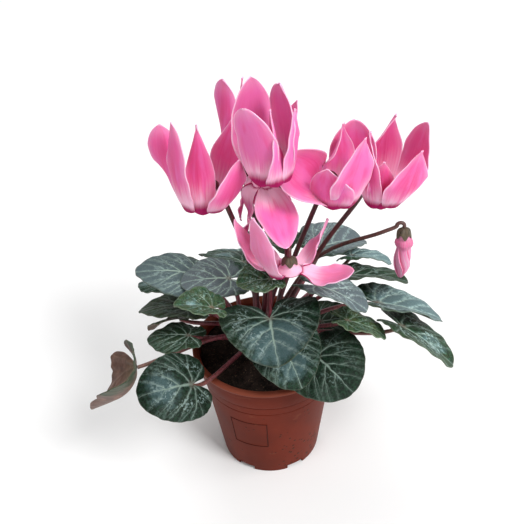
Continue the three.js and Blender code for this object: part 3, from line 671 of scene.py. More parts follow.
def make_leaf(name, leaf, settings, upper, under):
    """A blade, laid from its joint to its toothed edge, then bent, folded and bulged between its veins."""
    _, joint, turns, (length, width), shape = leaf
    shape = {**LEAF_SHAPE, **shape}
    forward, side, normal = leaf_frame(turns)
    angles = np.radians(np.arange(40, 130, 2))
    stretch = width / (2 * (heart(angles, shape["shoulder"]) * np.sin(angles)).max() * length)
    seed = sum(map(ord, name)) % 97

    def flat(u, v):
        """The angle round the joint, and the place on the blade laid flat, in shares of its length."""
        angle = SPREAD * (1 - 2 * u)
        tooth = 0.011 * abs(np.sin(angle * settings.teeth / 5.6 + 0.4 * np.sin(7 * angle + seed))) - 0.004
        outer = heart(angle, shape["shoulder"]) * (1 + tooth * ramp((v - 0.9) / 0.1))
        return angle, v * outer * np.cos(angle), v * outer * np.sin(angle) * stretch

    def surface(u, v):
        angle, x, y = flat(u, v)
        along, drop = arc(length * x, length, shape["droop"])
        across, sink = arc(length * y, width / 2, shape["sides"])
        crease = (np.sqrt(across * across + 4) - 2) * math.tan(math.radians(shape["fold"]))
        wave = shape["wave"] * v * v * np.sin(5 * angle)
        ripple = 0.35 * v ** 3 * np.sin(17 * angle + seed) + 0.4 * v * v * np.sin(9 * x + 7 * y + seed)
        midrib, main, fork = vein_distances(x, y, np.minimum)
        rib = np.minimum(midrib, main)
        puff = 1 - np.exp(-((rib / 0.04) ** 2)) * 0.75 - np.exp(-((fork / 0.025) ** 2)) * 0.25
        bulge = settings.relief * 1000 * puff * (1 - v ** 4) * ramp(v / 0.25)
        height = drop + sink + crease + wave + ripple + bulge - 0.3
        return joint + along[:, None] * forward + across[:, None] * side + height[:, None] * normal

    def notes(u, v):
        _, x, y = flat(u, v)
        # The grey middle and the lightness carry painted sheen and painted light as well as the leaf's own
        # colour.
        silver, grey, light, warm, vein = LOOKS[name]
        return {"blade": (x, y, v), "nature": (silver, grey, light), "temper": (warm, vein, seed)}

    piece = skin(name + "_blade", *GRIDS["leaf"], surface, notes)
    merge(piece)
    turned_over = shape["turned_over"]
    wear(piece, under if turned_over else upper, under)
    thicken(piece, settings.thickness, 0, material_offset=1)
    smooth_shade(piece, 60)
    finish(piece, "leaf_underside" if turned_over else "leaf", name)


def vein_pattern(paint, x, y, seed):
    """1 on a vein, 0 off it, and the same a little wider. Veins taper and break up towards the edge."""
    spot = paint.vector(x, y, seed)
    x = x + (paint.noise(spot, 6) - 0.5) * 0.07
    y = y + (paint.noise(spot, (7, 7, 11.9)) - 0.5) * 0.06
    reach = (x * x + y * y) ** 0.5
    midrib, main, fork = vein_distances(x, y, lambda a, b: a.maths("MINIMUM", b))
    taper = 1 - paint.step(reach, 0, 0.85) * 0.72
    fade = 1 - paint.step(reach, 0.4, 0.95) * 0.8
    broken = paint.step(paint.noise(spot, 14), 0.38, 0.52) * 0.6 + 0.4
    spine = paint.fall(midrib / taper, 0.010, 0.036) * (fade * 0.6 + 0.4)
    fine = paint.fall(main / taper, 0.005, 0.024) * fade * broken * 0.8
    twigs = paint.fall(fork, 0.002, 0.012) * paint.fall(reach, 0.5, 0.85) * broken * 0.45
    nearest = midrib.maths("MINIMUM", main).maths("MINIMUM", fork + 0.012)
    return spine.maths("MAXIMUM", fine).maths("MAXIMUM", twigs), paint.fall(nearest, 0.01, 0.055)


def leaf_paint(settings):
    """The upper face: dark green, a slate middle that is partly the leaf's own blue-grey and partly a painted
    bluish sheen, silver flecks in a broken band, and pale veins. Each leaf's colours are then scaled by its
    lightness, which is partly painted light and shade.
    """
    paint = Paint("leaf_upper", Specular_IOR_Level=0.15)
    _, (x, y, out) = paint.attribute("blade")
    _, (silver, grey, light) = paint.attribute("nature")
    _, (warm, strength, seed) = paint.attribute("temper")
    spot = paint.vector(x, y, seed)
    veins, halo = vein_pattern(paint, x, y, seed)
    net = paint.fall(paint.cells(spot, 17, "DISTANCE_TO_EDGE"), 0, 0.08)
    cloud = paint.noise(spot, 2.6, 4, 0.5)
    blotch = paint.noise(spot, 6.5, 5, 0.9)
    speck = paint.noise(spot, 17, 6, 1)
    fibre = paint.noise(spot, 46, 4, 0.6)
    ragged = out + (blotch - 0.5) * 0.5 + (cloud - 0.5) * 0.4
    from_centre = ((x - 0.55) ** 2 + y * y * 0.8) ** 0.5 + (blotch - 0.5) * 0.4 + (cloud - 0.5) * 0.3
    middle = paint.fall(from_centre - grey * 1.15, -0.36, -0.10) * (fibre * 0.4 + 0.8)
    band = paint.step(ragged, 0.34, 0.5) * paint.fall(ragged, 0.66, 0.86)
    wisp = paint.step(speck, 0.51, 0.62) * paint.step(cloud, 0.40, 0.56)
    wisps = halo * (middle * 0.4 + 0.2) * paint.step(speck, 0.40, 0.62)
    # Painted sheen: the slate middle, and the cooler blue-grey laid over it on the greyest leaves, are partly
    # the leaf's own colour and partly a painted bluish sheen.
    slate_and_sheen = paint.shades(settings.slate_and_sheen, 0.7, 1.7, fibre)
    base = paint.over(
        paint.shades(settings.green, 0.34, 1.9, paint.step(speck, 0.32, 0.78)),
        ((0.026, 0.050, 0.013), paint.step(cloud, 0.5, 0.72) * 0.35),
        (paint.mix(slate_and_sheen, (0.135, 0.145, 0.165), paint.step(grey, 0.6, 1) * 0.8), middle),
        (settings.silver, (band * wisp * 0.85 + wisps) * silver),
        ((0.16, 0.15, 0.05), warm * paint.step(blotch, 0.3, 0.7)),
        (settings.vein, net * 0.05 * strength),
        (settings.vein, (veins * 0.72 + halo * 0.05) * strength),
        ((0.16, 0.07, 0.045), paint.fall((x * x + y * y) ** 0.5, 0.02, 0.12) * 0.5),
        ((0.12, 0.15, 0.10), paint.step(out, 0.978, 0.995) * 0.5))
    # Painted light and shade: each leaf's colours are scaled by its lightness. This is partly the leaf's own
    # tone and partly how brightly lit it stands, brighter on leaves that catch more light.
    lit = paint.node("ShaderNodeVectorMath", {"operation": "SCALE"}, {0: base, 3: light * 2})
    height = veins * -0.8 + speck * 0.7 + fibre * 0.25 + net * -0.2 + halo * -0.5
    paint.colour(lit).roughness(speck * 0.2 + 0.42)
    return paint.bump(height, 0.0008, 0.6).material


def underside_paint(settings):
    """The underside: olive or, on a warm leaf, red-brown with one green side, and paler along its veins."""
    paint = Paint("leaf_under", Roughness=0.5, Specular_IOR_Level=0.3)
    blade, (x, y, out) = paint.attribute("blade")
    _, (warm, _, seed) = paint.attribute("temper")
    veins, halo = vein_pattern(paint, x, y, seed)
    mottle = paint.noise(blade, 8, 4)
    patches = paint.step(mottle, 0.35, 0.75)
    base = paint.over(
        paint.mix((0.030, 0.036, 0.014), (0.070, 0.066, 0.030), patches),
        (paint.shades(settings.underside, 1, 1.9, patches), warm),
        ((0.13, 0.115, 0.05), paint.fall(out, 0.1, 0.6) * 0.4),
        ((0.030, 0.050, 0.024), paint.step(y * -1 + (mottle - 0.5) * 0.3, 0.16, 0.34) * warm),
        ((0.22, 0.14, 0.10), veins * 0.5 + halo * 0.15))
    return paint.colour(base).bump(veins * 0.8 + mottle * 0.4 + halo * 0.4, 0.0006, 0.6).material


# ------------------------------------------------------------------ stalks

def tuber_top(distance):
    """How high the tuber reaches at a distance from its axis."""
    return TUBER["centre"][2] + TUBER["half_height"] * math.sqrt(1 - (distance / TUBER["radius"]) ** 2)


def crown_place(degrees, ring, radius):
    """Where a round stem of this radius stands on a ring round the crown, clear of the tuber."""
    return (*TUBER["centre"][:2], 0) + polar(math.radians(degrees), ring, tuber_top(ring - radius) + GAP)


def trunk_place(name):
    return crown_place(-90 + 60 * TRUNKS.index(name), CROWN["trunk_ring"], CROWN["trunk_radius"])


def leaf_stalk_line(leaf, index, count):
    """A stalk from its trunk up and out to the blade's joint, and its radii."""
    trunk, joint, turns, _, shape = leaf
    shape = {**LEAF_SHAPE, **shape}
    _, _, normal = leaf_frame(turns)
    root = trunk_place(trunk) + polar(2 * math.pi * index / count, LEAF_STALK["root_ring"], 2)
    away = unit((joint - root) * (1, 1, 0))
    arrive = math.radians(shape["arrive"])
    arrival = away * math.cos(arrive) + (0, 0, math.sin(arrive))
    end = joint + normal * shape["meets"] * 0.9
    distance = np.linalg.norm(end - root)
    first = root + away * 0.15 * distance + (0, 0, shape["rise"] * distance)
    t = np.linspace(0, 1, 30)[:, None]
    weights = ((1 - t) ** 3, 3 * t * (1 - t) ** 2, 3 * t * t * (1 - t), t ** 3)
    handles = (root, first, end - arrival * 0.35 * distance, end)
    line = sum(weight * handle for weight, handle in zip(weights, handles))
    thinned = ramp((t[:, 0] - 0.8) / 0.2) - (1 - t[:, 0]) ** 2
    return line, LEAF_STALK["radius"] - LEAF_STALK["taper"] * thinned


def flower_stalk_line(root_degrees, top, side_degrees, bow, hooked):
    """Up from the crown, past the side of the flower, round the hook and down to the calyx."""
    root = crown_place(root_degrees, CROWN["flower_ring"], 1.6)
    sideways = polar(math.radians(side_degrees), 1)
    hook = []
    for turn in np.linspace(0, math.pi, HOOK_STEPS + 1):
        across = hooked["radius"] * (1 + math.cos(turn))
        hook.append(top + UP * (hooked["radius"] * math.sin(turn) + 0.8) + sideways * across)
    start = hook[0] - UP * hooked["drop"] + sideways * hooked["splay"]
    upright = root + 0.03 * (start - root)
    upright[2] = root[2] + 14
    between = root + 0.55 * (start - root) + bow
    return smooth_line([root, upright, between, start, *hook, top])


def stalk_paint(name, tint, tip):
    """A smooth stalk, streaked along its length and paler where it reaches furthest out."""
    paint = Paint(name, Roughness=0.42, Coat_Weight=0.1, Coat_Roughness=0.3)
    place = paint.place()
    x, y, _ = paint.numbers(place)
    base = paint.over(
        paint.shades(tint, 0.55, 1.7, paint.step(paint.noise(place, (900, 900, 90)), 0.3, 0.72)),
        (tip, paint.step((x * x + y * y) ** 0.5, 0.03, 0.085) * 0.6))
    return paint.colour(base).bump(paint.noise(place, 2600, 2), 0.0002, 0.3).material


# ------------------------------------------------------------------ flowers

def petal_half_width(v, width, point):
    """Half a petal's width: its foot laps its neighbours, and its tip is round (0) to sharp (1)."""
    foot, widest = min(1, PETAL["foot"] / width), PETAL["widest"]
    share = foot + (1 - foot) * np.sin(np.pi / 2 * np.clip(v / widest, 0, 1)) ** 1.3
    past = np.clip((v - widest) / (1 - widest), 0, 1)
    taper = (1 - past ** (2.2 - 0.9 * point)) ** (0.6 + 0.6 * point)
    return width / 2 * share * np.maximum(0.05, taper)


def petal_surface(petal, mouth):
    """A petal that starts outward from the mouth's rim, turns up, and then curls, swings and twists."""
    azimuth, lean, length, width, twist, curl, swing, point = petal
    steps, turn = PETAL["steps"], PETAL["turn"]
    distance = np.linspace(0, length, steps + 1)
    t = np.clip((distance - turn) / (length - turn), 0, 1)
    settled = lean + curl * ((1 - t) ** 2 - 0.33)
    angle = np.radians(settled + (PETAL["start"] - settled) * (1 - ramp(distance / turn)))
    heading = np.radians(azimuth + swing * ramp(t))
    along = polar(heading, np.sin(angle), np.cos(angle))
    side = turned(polar(heading + math.pi / 2, 1), along, np.radians(twist) * ramp(distance / length))
    face = np.cross(along, side)
    foot = polar(math.radians(azimuth), TUBE["mouth"] - 0.9, -0.1)
    middle = np.vstack([foot, foot + np.cumsum(along[:-1] * length / steps, 0)])
    seed = azimuth * 0.7 + length

    def surface(u, v):
        place, across, inner = (sampled(rows, v) for rows in (middle, side, face))
        s = 2 * u - 1
        half = petal_half_width(v, width, point)
        furrow = -0.5 * np.exp(-((s / 0.16) ** 2)) * ramp(v / 0.2) * (1 - v)
        waves = 0.8 * abs(s) ** 3 * np.sin(11 * v + seed) + 0.3 * s ** 4 * np.sin(27 * v + 3 * s + seed)
        frill = (waves + 0.35 * np.sin(5 * v + seed) * s) * ramp(v * 3)
        cup = 0.24 + 0.26 * (1 - ramp(v / 0.35))
        lift = cup * half * s * s + furrow + frill
        return mouth + place + across * (half * s)[:, None] + inner * lift[:, None]

    return surface


def make_corolla(name, flower, settings, paints):
    """The petals, thickened like sheets, round a tube that narrows up into the calyx."""
    mouth, _, petals, _, _, (pale, violet) = flower
    parts = []
    for i, petal in enumerate(petals):
        part = skin(f"{name}_petal_{i}", *GRIDS["petal"], petal_surface(petal, mouth), lambda u, v: {
            "petal": (2 * u - 1, v, pale),
            "growth": (v * petal[2] / 60, i * 0.37 + mouth[0] * 0.11, violet)})
        wear(part, *paints)
        thicken(part, settings.thickness, 0, material_offset=1)
        parts.append(part)
    height, radius = TUBE["height"], TUBE["mouth"]
    lip = (radius - 1.6, -0.4)
    inside = smooth_line([(0.01, height - 2.4), (2.6, height - 3.6), (3.8, 3), lip], 4)
    outside = smooth_line([lip, (radius - 0.8, -0.8), (radius - 0.1, -0.5), (radius, 0.5), (4.8, 3),
                           (3.9, height - 2), (2.4, height - 0.4), (0.01, height)], 4)
    tube = revolve(f"{name}_tube", [*inside[:-1], *outside], GRIDS["tube"], mouth, lambda u, v: {
        "petal": (0, 0.28 * ramp((v - 0.55) / 0.3), pale),
        "growth": (0.2 * ramp((v - 0.5) / 0.25), u, violet)})
    wear(tube, *paints)
    tube.data.polygons.foreach_set("material_index", [1] * len(tube.data.polygons))
    piece = join([*parts, tube], name + "_petals")
    smooth_shade(piece, 70)
    finish(piece, "petal", name + "_corolla")


def petal_paint(settings, back=False):
    """A petal: dark at the mouth, pale above it, blushing to pink, crimson up the middle, with a pale rim.
    The crimson middle is partly painted shade in the cupped petal's hollow, and the pale rim is partly a
    painted highlight along its edges.

    Its back is paler and lacks the dark foot.
    """
    paint = Paint("petal_back" if back else "petal_face", Roughness=0.55, Specular_IOR_Level=0.12,
                  Subsurface_Weight=0.15, Subsurface_Scale=0.0015)
    _, (across, along, pale) = paint.attribute("petal")
    _, (foot, seed, cool) = paint.attribute("growth")
    wide = abs(across)
    own = paint.vector(across, along, seed)
    lines = paint.noise(own, (13, 1.2, 1), 4, 0.2)
    fine = paint.noise(own, (44, 5, 1), 3, 0.1)
    cloud = paint.noise(own, 2.4)
    ragged = along + (cloud - 0.5) * 0.16 + (lines - 0.5) * 0.22
    risen = paint.step(ragged, 0.2, 0.5)
    # Painted shade: the crimson streak up the middle is partly the petal's own deeper pink and partly shade
    # in its cupped hollow. It is weaker on the back.
    streak = paint.fall(wide, 0.05, 0.8) * risen * paint.fall(ragged, 0.55, 0.95)
    # Painted highlight: the pale rim along the edges and tip is partly the petal's own pale edge and partly
    # lit edges.
    rim = paint.step(wide, 0.93, 0.99).maths("MAXIMUM", paint.step(along, 0.98, 0.996))
    rim = rim * (paint.step(foot, 0.2, 0.45) * 0.6 + 0.1) + paint.step(wide, 0.55, 0.98) * 0.25
    reach = foot + (lines - 0.5) * 0.06 + wide * wide * 0.05
    base = paint.over(
        paint.mix(settings.pale, settings.pink, paint.step(ragged, 0.16, 0.52)),
        (settings.deep, streak * (0.3 if back else 0.52)),
        (settings.deep, paint.step(lines, 0.48, 0.72) * (paint.step(ragged, 0.1, 0.5) * 0.2 + 0.1)),
        (settings.violet, paint.step(cloud + cool * 0.3, 0.5, 0.75) * risen * 0.7),
        (settings.pale, paint.step(fine, 0.55, 0.8) * 0.15),
        (settings.pale, pale * 0.75),
        (settings.pale, paint.step(along, 0.8, 1) * 0.3),
        (settings.rim, rim),
        (settings.mouth, paint.fall(reach, 0.012, 0.05) if back else paint.fall(reach, 0.16, 0.27)))
    return paint.colour(base).bump(lines + fine * 0.4, 0.0005, 0.4).material


def make_calyx(name, node, base, size, tall, paint):
    """Five pointed sepals closed over the top of the tube."""
    bell = (0, 2.1, 3.5, 4.2, 4.5)

    def surface(u, v):
        a = 2 * math.pi * u
        point = 0.5 + 0.5 * np.cos(5 * a + math.pi / 2)
        low = CALYX["reach"] + CALYX["points"] * point
        radius = np.interp(v, np.linspace(0, 1, len(bell)), bell) * size + CALYX["clear"] * ramp(v)
        drop = (ramp(v) * 0.2 + low * v ** 1.6) * tall
        flare = 0.35 * ramp((v - 0.7) / 0.3) * point
        return base + polar(a, radius + flare, CALYX_TOP - drop)

    piece = skin(name, *GRIDS["calyx"], surface, lambda u, v: {"sepal": (u * 5, v, 0)})
    merge(piece)
    thicken(piece, CALYX["thickness"] / 1000, 1)
    smooth_shade(piece, 60)
    finish(piece, "calyx", node, materials=(paint,))


def calyx_paint(settings):
    """Brown-green sepals with darker streaks and pale tips."""
    paint = Paint("sepal_skin", Roughness=0.6)
    sepal, (_, down, _) = paint.attribute("sepal")
    streak = paint.noise(sepal, (9, 1.2, 1), 4)
    base = paint.over(
        paint.shades(settings.calyx, 0.45, 1.8, paint.step(streak, 0.3, 0.7)),
        ((0.14, 0.105, 0.065), paint.step(down, 0.8, 1) * 0.5))
    return paint.colour(base).bump(streak, 0.0004, 0.5).material


def make_bud(paint):
    """A swollen ring under the calyx, then five petals rolled round each other to a blunt point."""
    depths, radii = np.array(BUD_GIRTH).T
    top = BUD["calyx"] - UP * (CALYX["clear"] + CALYX["wall"] + GAP)

    def surface(u, v):
        depth = depths[-1] * v
        turn = 2 * math.pi * u
        rolled = ramp((depth - 11) / 5)
        lobe = 0.10 * abs(np.sin(2.5 * turn)) * ramp((depth - 6) / 2) * (1 - rolled)
        fold = 0.20 * (((5 * u) % 1) ** 1.4 - 0.7) * rolled
        twist = turn + 1.3 * ramp((depth - 12) / 27)
        reach = np.interp(depth, depths, radii) * (1 + lobe + fold)
        sway = polar(0, 0.5 * np.sin(depth / 9))
        return top + polar(twist, reach, -depth) + sway

    piece = skin("bud_petals", *GRIDS["bud"], surface, lambda u, v: {"petal": ((5 * u) % 1, v, 0)})
    merge(piece)
    outward(piece)
    smooth_shade(piece, 60)
    finish(piece, "petal", "bud", materials=(paint,))


def bud_paint(settings):
    """Rolled petals: pale mauve-pink with crimson folds and a deep ring under the calyx."""
    paint = Paint("bud_skin", Roughness=0.5, Specular_IOR_Level=0.3)
    petal, (around, down, _) = paint.attribute("petal")
    lines = paint.noise(petal, (9, 2, 1), 4)
    fold = paint.fall(around, 0, 0.4).maths("MAXIMUM", paint.step(around, 0.94, 1))
    ring = paint.step(down, 0.10, 0.22) * paint.fall(down + (lines - 0.5) * 0.1, 0.27, 0.42)
    base = paint.over(
        paint.mix(tuple(v * 0.82 for v in settings.pale), settings.pink, paint.step(lines, 0.35, 0.7)),
        ((0.52, 0.040, 0.13), fold * paint.step(down, 0.30, 0.45) * 0.9),
        ((0.56, 0.075, 0.20), ring * 0.6))
    return paint.colour(base).bump(lines, 0.0005, 0.5).material


# ------------------------------------------------------------------ pot and soil

def plastic_paint(settings, name="pot_plastic", depth=1):
    """Moulded plastic: an even satin brown with fine grain, scuffs and splashes of dried soil, and a painted
    highlight: the rim's lip is lighter where it catches the light.
    """
    paint = Paint(name, Specular_IOR_Level=0.07)
    place = paint.place()
    across, _, height = paint.numbers(place)
    cloud = paint.noise(place, 28, 4)
    grain = paint.noise(place, 900)
    scuff = paint.step(paint.noise(place, (60, 60, 180), 5, 1), 0.6, 0.78)
    splashed = paint.step(across, 0, 0.03) * paint.fall(height, 0.035, 0.07) * 0.10
    patches = paint.step(paint.noise(place, 34, 2) + splashed, 0.50, 0.60)
    dirt = paint.fall(paint.cells(place, 230) - splashed, 0.12, 0.24) * patches
    base = paint.over(
        paint.shades(tuple(v * depth for v in settings.plastic), 0.84, 1.16, paint.step(cloud, 0.3, 0.7)),
        ((0.26, 0.09, 0.055), scuff * 0.3),
        # Painted highlight: the top few millimetres of the pot, its rim lip, are painted lighter where the
        # light falls on them.
        ((0.32, 0.095, 0.055), paint.step(height, 0.0925, 0.0955) * 0.4),
        ((0.045, 0.014, 0.007), dirt * 0.8))
    paint.colour(base).roughness(cloud * 0.18 + 0.40 + scuff * 0.15)
    return paint.bump(grain * 0.4 + dirt * 1.5, 0.0002, 0.35).material


def pot_radius(z):
    """The wall's outer radius at a height, leaving out the collar and the rim."""
    return POT["foot"] + (POT["rim"] - POT["overhang"] - POT["foot"]) * z / POT["height"]


def cut(piece):
    """Cuts the object that was made last out of the piece."""
    cutter = bpy.context.object
    apply(piece, "BOOLEAN", operation="DIFFERENCE", object=cutter, solver="EXACT")
    bpy.data.objects.remove(cutter)


def make_pot():
    """The pot's moulded profile turned once round, with notches and drain holes cut through its foot."""
    foot, wall, rim, height = POT["foot"], POT["wall"], POT["rim"], POT["height"]
    collar = height - POT["rim_height"] - POT["collar"]

    def side(*places):
        """Points of the wall: each a height, how far it stands out, and how far above that height it is."""
        return [(pot_radius(z) + out, z + up) for z, out, up in places]

    profile = [
        (0, 0), (23.4, 0), (24, 0.2), (25.2, 1.6), (25.9, 2.5), (26.6, 2.6), (31.4, 2.6), (32.4, 2.3),
        (34.3, 0.2), (34.8, 0), (foot - 0.4, 0), (foot, 0.3), (foot + 0.15, 1),
        *side((20, 0, 0), (40, 0, 0), (60, 0, 0), (69.8, 0, 0), (70, -0.4, 0.1), (70, -0.4, 0.6)),
        *side((71, 0.3, 0), (collar - 1, 0.35, -0.3), (collar, -0.5, -1), (collar, -0.5, -0.2)),
        *side((collar, 1, 0), (collar, 1.2, 0.5), (86, 1.1, 0), (92.6, 0.8, 0)),
        (rim - 2.1, height - 3.7), (rim - 0.8, height - 3.5), (rim - 0.2, height - 3), (rim, height - 2.2),
        (rim, height - 1.2), (rim - 0.3, height - 0.5), (rim - 0.9, height - 0.1), (rim - 1.7, height),
        (rim - 2.9, height), (rim - 3.7, height - 0.3), (rim - 4.2, height - 1),
        *side((90, -wall, 0), (40, -wall, 0), (5, -wall, 0)),
        (34.2, 4.2), (33.2, 4), (25.8, 4), (25, 3.7), (23.6, 1.7), (22.8, wall), (0, wall)]
    piece = revolve("pot_body", profile, GRIDS["pot"])
    notch = np.array(POT["notch"]) / 1000
    deselect()
    for i in range(POT["notches"]):
        angle = math.radians(POT["first_notch"] + 360 / POT["notches"] * i)
        bpy.ops.mesh.primitive_cube_add(
            size=1, location=polar(angle, foot / 1000), rotation=(0, 0, angle), scale=notch)
        cut(piece)
        bpy.ops.mesh.primitive_cylinder_add(
            vertices=24, radius=POT["drain_radius"] / 1000, depth=notch[2],
            location=polar(angle, POT["drain_ring"] / 1000, notch[2] / 2))
        cut(piece)
    smooth_shade(piece, 40)
    return piece


def panel_outline():
    """The bare square outline moulded on the front of the pot."""
    low, high, line = PANEL["low"], PANEL["high"], PANEL["line"]
    t = np.linspace(0, 1, 16)
    lines = []
    for a0, z0, a1, z1 in ((-1, low, 1, low), (1, low, 1, high), (1, high, -1, high), (-1, high, -1, low)):
        z = z0 + (z1 - z0) * t
        angle = np.radians(PANEL["middle"] + PANEL["half"] * (a0 + (a1 - a0) * t))
        lines.append((polar(angle, pot_radius(z), z), line + 0 * t))
    return rod("pot_outline", lines, 8)


def soil_paint(settings):
    """Dark peat, flecked with brown fibre."""
    paint = Paint("soil", Roughness=0.95, Specular_IOR_Level=0.2)
    place = paint.place()
    fleck = paint.noise(place, 700, 4)
    clump = paint.noise(place, 160)
    base = paint.over(
        paint.shades(settings.soil, 0.5, 2.6, paint.step(clump, 0.3, 0.75)),
        ((0.13, 0.085, 0.055), paint.step(fleck, 0.58, 0.70) * 0.8))
    return paint.colour(base).bump(fleck + clump, 0.0012, 0.9).material


def grit_paint():
    """Pale mineral grains."""
    paint = Paint("grit", Roughness=0.9)
    place = paint.place()
    base = paint.mix((0.30, 0.29, 0.27), (0.62, 0.60, 0.56), paint.noise(place, 500))
    return paint.colour(base).bump(paint.noise(place, 1400), 0.0005, 0.8).material


def tuber_paint():
    """Brown cork with dark cracks."""
    paint = Paint("tuber_skin", Roughness=0.85)
    place = paint.place()
    crack = paint.cells(place, (170, 170, 374), "DISTANCE_TO_EDGE")
    cork = paint.noise(place, 260, 5, 0.8)
    base = paint.mix((0.055, 0.033, 0.022), (0.16, 0.10, 0.066), paint.step(cork, 0.3, 0.75))
    base = paint.mix((0.02, 0.012, 0.009), base, paint.step(crack, 0, 0.12))
    return paint.colour(base).bump(cork + paint.step(crack, 0, 0.2), 0.0009, 0.8).material


def grains(name, count, sizes, seed, flat):
    """Small rough lumps scattered over the soil, clear of the tuber."""
    deselect()
    bpy.ops.mesh.primitive_ico_sphere_add(subdivisions=2, radius=1)
    piece = bpy.context.object
    piece.name = name
    shape = positions(piece)
    loops = np.array([tuple(face.vertices) for face in piece.data.polygons])
    draw = np.random.default_rng(seed)
    points, faces = [], []
    for _ in range(count):
        a, r = draw.uniform(0, 2 * math.pi), SOIL["crumbs_within"] * math.sqrt(draw.uniform(0, 1))
        place = polar(a, r, SOIL["top"] + 0.2)
        size = draw.uniform(*sizes) * (1 if draw.uniform() < 0.85 else 1.6)
        stretch = draw.uniform(0.6, 1.3, 3) * (1, 1, flat)
        lump = shape * (1 + draw.uniform(-0.25, 0.25, (len(shape), 1))) * stretch * size
        turn = draw.uniform(0, 2 * math.pi)
        if math.dist(place[:2], TUBER["centre"][:2]) < TUBER["radius"] - 2:
            continue
        faces.append(loops + len(shape) * len(points))
        points.append(turned(lump, UP, turn) + place + UP * draw.uniform(-0.3, 0.7))
    mesh = bpy.data.meshes.new(name)
    mesh.from_pydata((np.vstack(points) / 1000).tolist(), [], np.vstack(faces).tolist())
    piece.data = mesh
    smooth_shade(piece, 40)
    return piece


def make_soil(paint):
    """The soil's lumpy top. It rises where it meets the tuber and drops at the pot's wall."""

    def surface(u, v):
        x, y, _ = polar(2 * math.pi * u, SOIL["radius"] * v).T
        lumps = (0.7 * np.sin(x / 3.1 + 1.3 * np.sin(y / 4.3)) * np.cos(y / 2.7 + np.sin(x / 5.2))
                 + 0.35 * np.sin(x / 1.1 + 2) * np.cos(y / 1.3 + 0.7 * np.sin(x / 1.9)))
        inward = np.hypot(x - TUBER["centre"][0], y - TUBER["centre"][1])
        hug = 1.2 * np.exp(-(((inward - TUBER["radius"] + 1) / 5) ** 2))
        return np.stack([x, y, SOIL["top"] + lumps + hug - 1.2 * ramp((v - 0.93) / 0.07)], 1)

    piece = skin("soil_surface", *GRIDS["soil"], surface)
    merge(piece)
    thicken(piece, SOIL["thickness"] / 1000, -1)
    outward(piece)
    smooth_shade(piece, 80)
    finish(piece, "soil", "soil", materials=(paint,))


def make_tuber(paint):
    """The corky corm, wrinkled and half out of the soil."""
    deselect()
    bpy.ops.mesh.primitive_uv_sphere_add(segments=64, ring_count=32, radius=1)
    piece = bpy.context.object
    piece.name = "tuber_corm"
    ball = positions(piece)
    x, y, z = ball.T
    lumps = 1 + 0.03 * np.sin(6 * x + 3 * y) * np.cos(5 * y - 4 * z)
    size = np.array([TUBER["radius"], TUBER["radius"], TUBER["half_height"]]) - 0.2
    place_points(piece, ball * lumps[:, None] * size + TUBER["centre"])
    smooth_shade(piece, 60)
    finish(piece, "tuber", "tuber", materials=(paint,))


# ------------------------------------------------------------------ operators

class CYCLAMEN_OT_pot(bpy.types.Operator):
    """Make the moulded pot, with its rim, collar, notches and bare outline"""
    bl_idname = "cyclamen.pot"
    bl_label = "Pot"

    def execute(self, context):
        settings = context.scene.cyclamen_pot
        finish(make_pot(), "pot", "pot", materials=(plastic_paint(settings),))
        finish(panel_outline(), "pot", "pot", materials=(plastic_paint(settings, "pot_outline", 0.4),))
        return {"FINISHED"}


class CYCLAMEN_OT_soil(bpy.types.Operator):
    """Make the soil with its crumbs and pale grains, and the tuber"""
    bl_idname = "cyclamen.soil"
    bl_label = "Soil and tuber"

    def execute(self, context):
        settings = context.scene.cyclamen_pot
        paint = soil_paint(settings)
        make_soil(paint)
        crumbs = grains("soil_crumbs", settings.crumbs, (0.35, 1.1), 5, 0.6)
        finish(crumbs, "soil", "soil", materials=(paint,))
        finish(grains("soil_grit", 90, (0.25, 0.8), 11, 0.9), "soil", "soil", materials=(grit_paint(),))
        make_tuber(tuber_paint())
        return {"FINISHED"}


class CYCLAMEN_OT_leaf_stalks(bpy.types.Operator):
    """Make the short trunks and the leaf stalks that rise from them"""
    bl_idname = "cyclamen.leaf_stalks"
    bl_label = "Leaf stalks"

    def execute(self, context):
        paint = stalk_paint("leaf_stalk", context.scene.cyclamen_leaf.stalk, (0.13, 0.075, 0.035))
        shares, taper = np.array([0, 0.25, 0.6, 0.85, 1]), np.array([1, 0.96, 0.88, 0.7, 0.35])
        for trunk in TRUNKS:
            own = [leaf for leaf in LEAVES.values() if leaf[0] == trunk]
            lines = [leaf_stalk_line(leaf, i, len(own)) for i, leaf in enumerate(own)]
            upward = trunk_place(trunk) + polar(0, 0, CROWN["trunk_height"] * shares)
            lines.append((upward, CROWN["trunk_radius"] * taper))
            piece = rod(f"stalks_{trunk}", lines)
            finish(piece, "leaf_stalk", f"leaf_stalks_{trunk}", materials=(paint,))
        return {"FINISHED"}


class CYCLAMEN_OT_leaves(bpy.types.Operator):
    """Make the leaf blades with their veins, marbling and toothed edges"""
    bl_idname = "cyclamen.leaves"
    bl_label = "Leaves"

    def execute(self, context):
        settings = context.scene.cyclamen_leaf
        upper, under = leaf_paint(settings), underside_paint(settings)
        for name, leaf in LEAVES.items():
            make_leaf(name, leaf, settings, upper, under)
        return {"FINISHED"}


class CYCLAMEN_OT_flowers(bpy.types.Operator):
    """Make the flowers: hooked stalks, calyces, tubes and petals"""
    bl_idname = "cyclamen.flowers"
    bl_label = "Flowers"

    def execute(self, context):
        settings = context.scene.cyclamen_flower
        petals, calyx = (petal_paint(settings), petal_paint(settings, back=True)), calyx_paint(settings)
        stalk = stalk_paint("flower_stalk", settings.stalk, (0.11, 0.030, 0.025))
        for name, flower in FLOWERS.items():
            mouth, side, _, root, bow, _ = flower
            make_corolla(name, flower, settings, petals)
            make_calyx(name + "_sepals", name + "_calyx", mouth, 1, 1, calyx)
            line = flower_stalk_line(root, mouth + UP * (CALYX_TOP + 0.1), side, bow, HOOK)
            piece = rod(name + "_stem", [(line, np.linspace(*HOOK["stem"], len(line)))])
            finish(piece, "flower_stalk", name + "_stalk", materials=(stalk,))
        return {"FINISHED"}


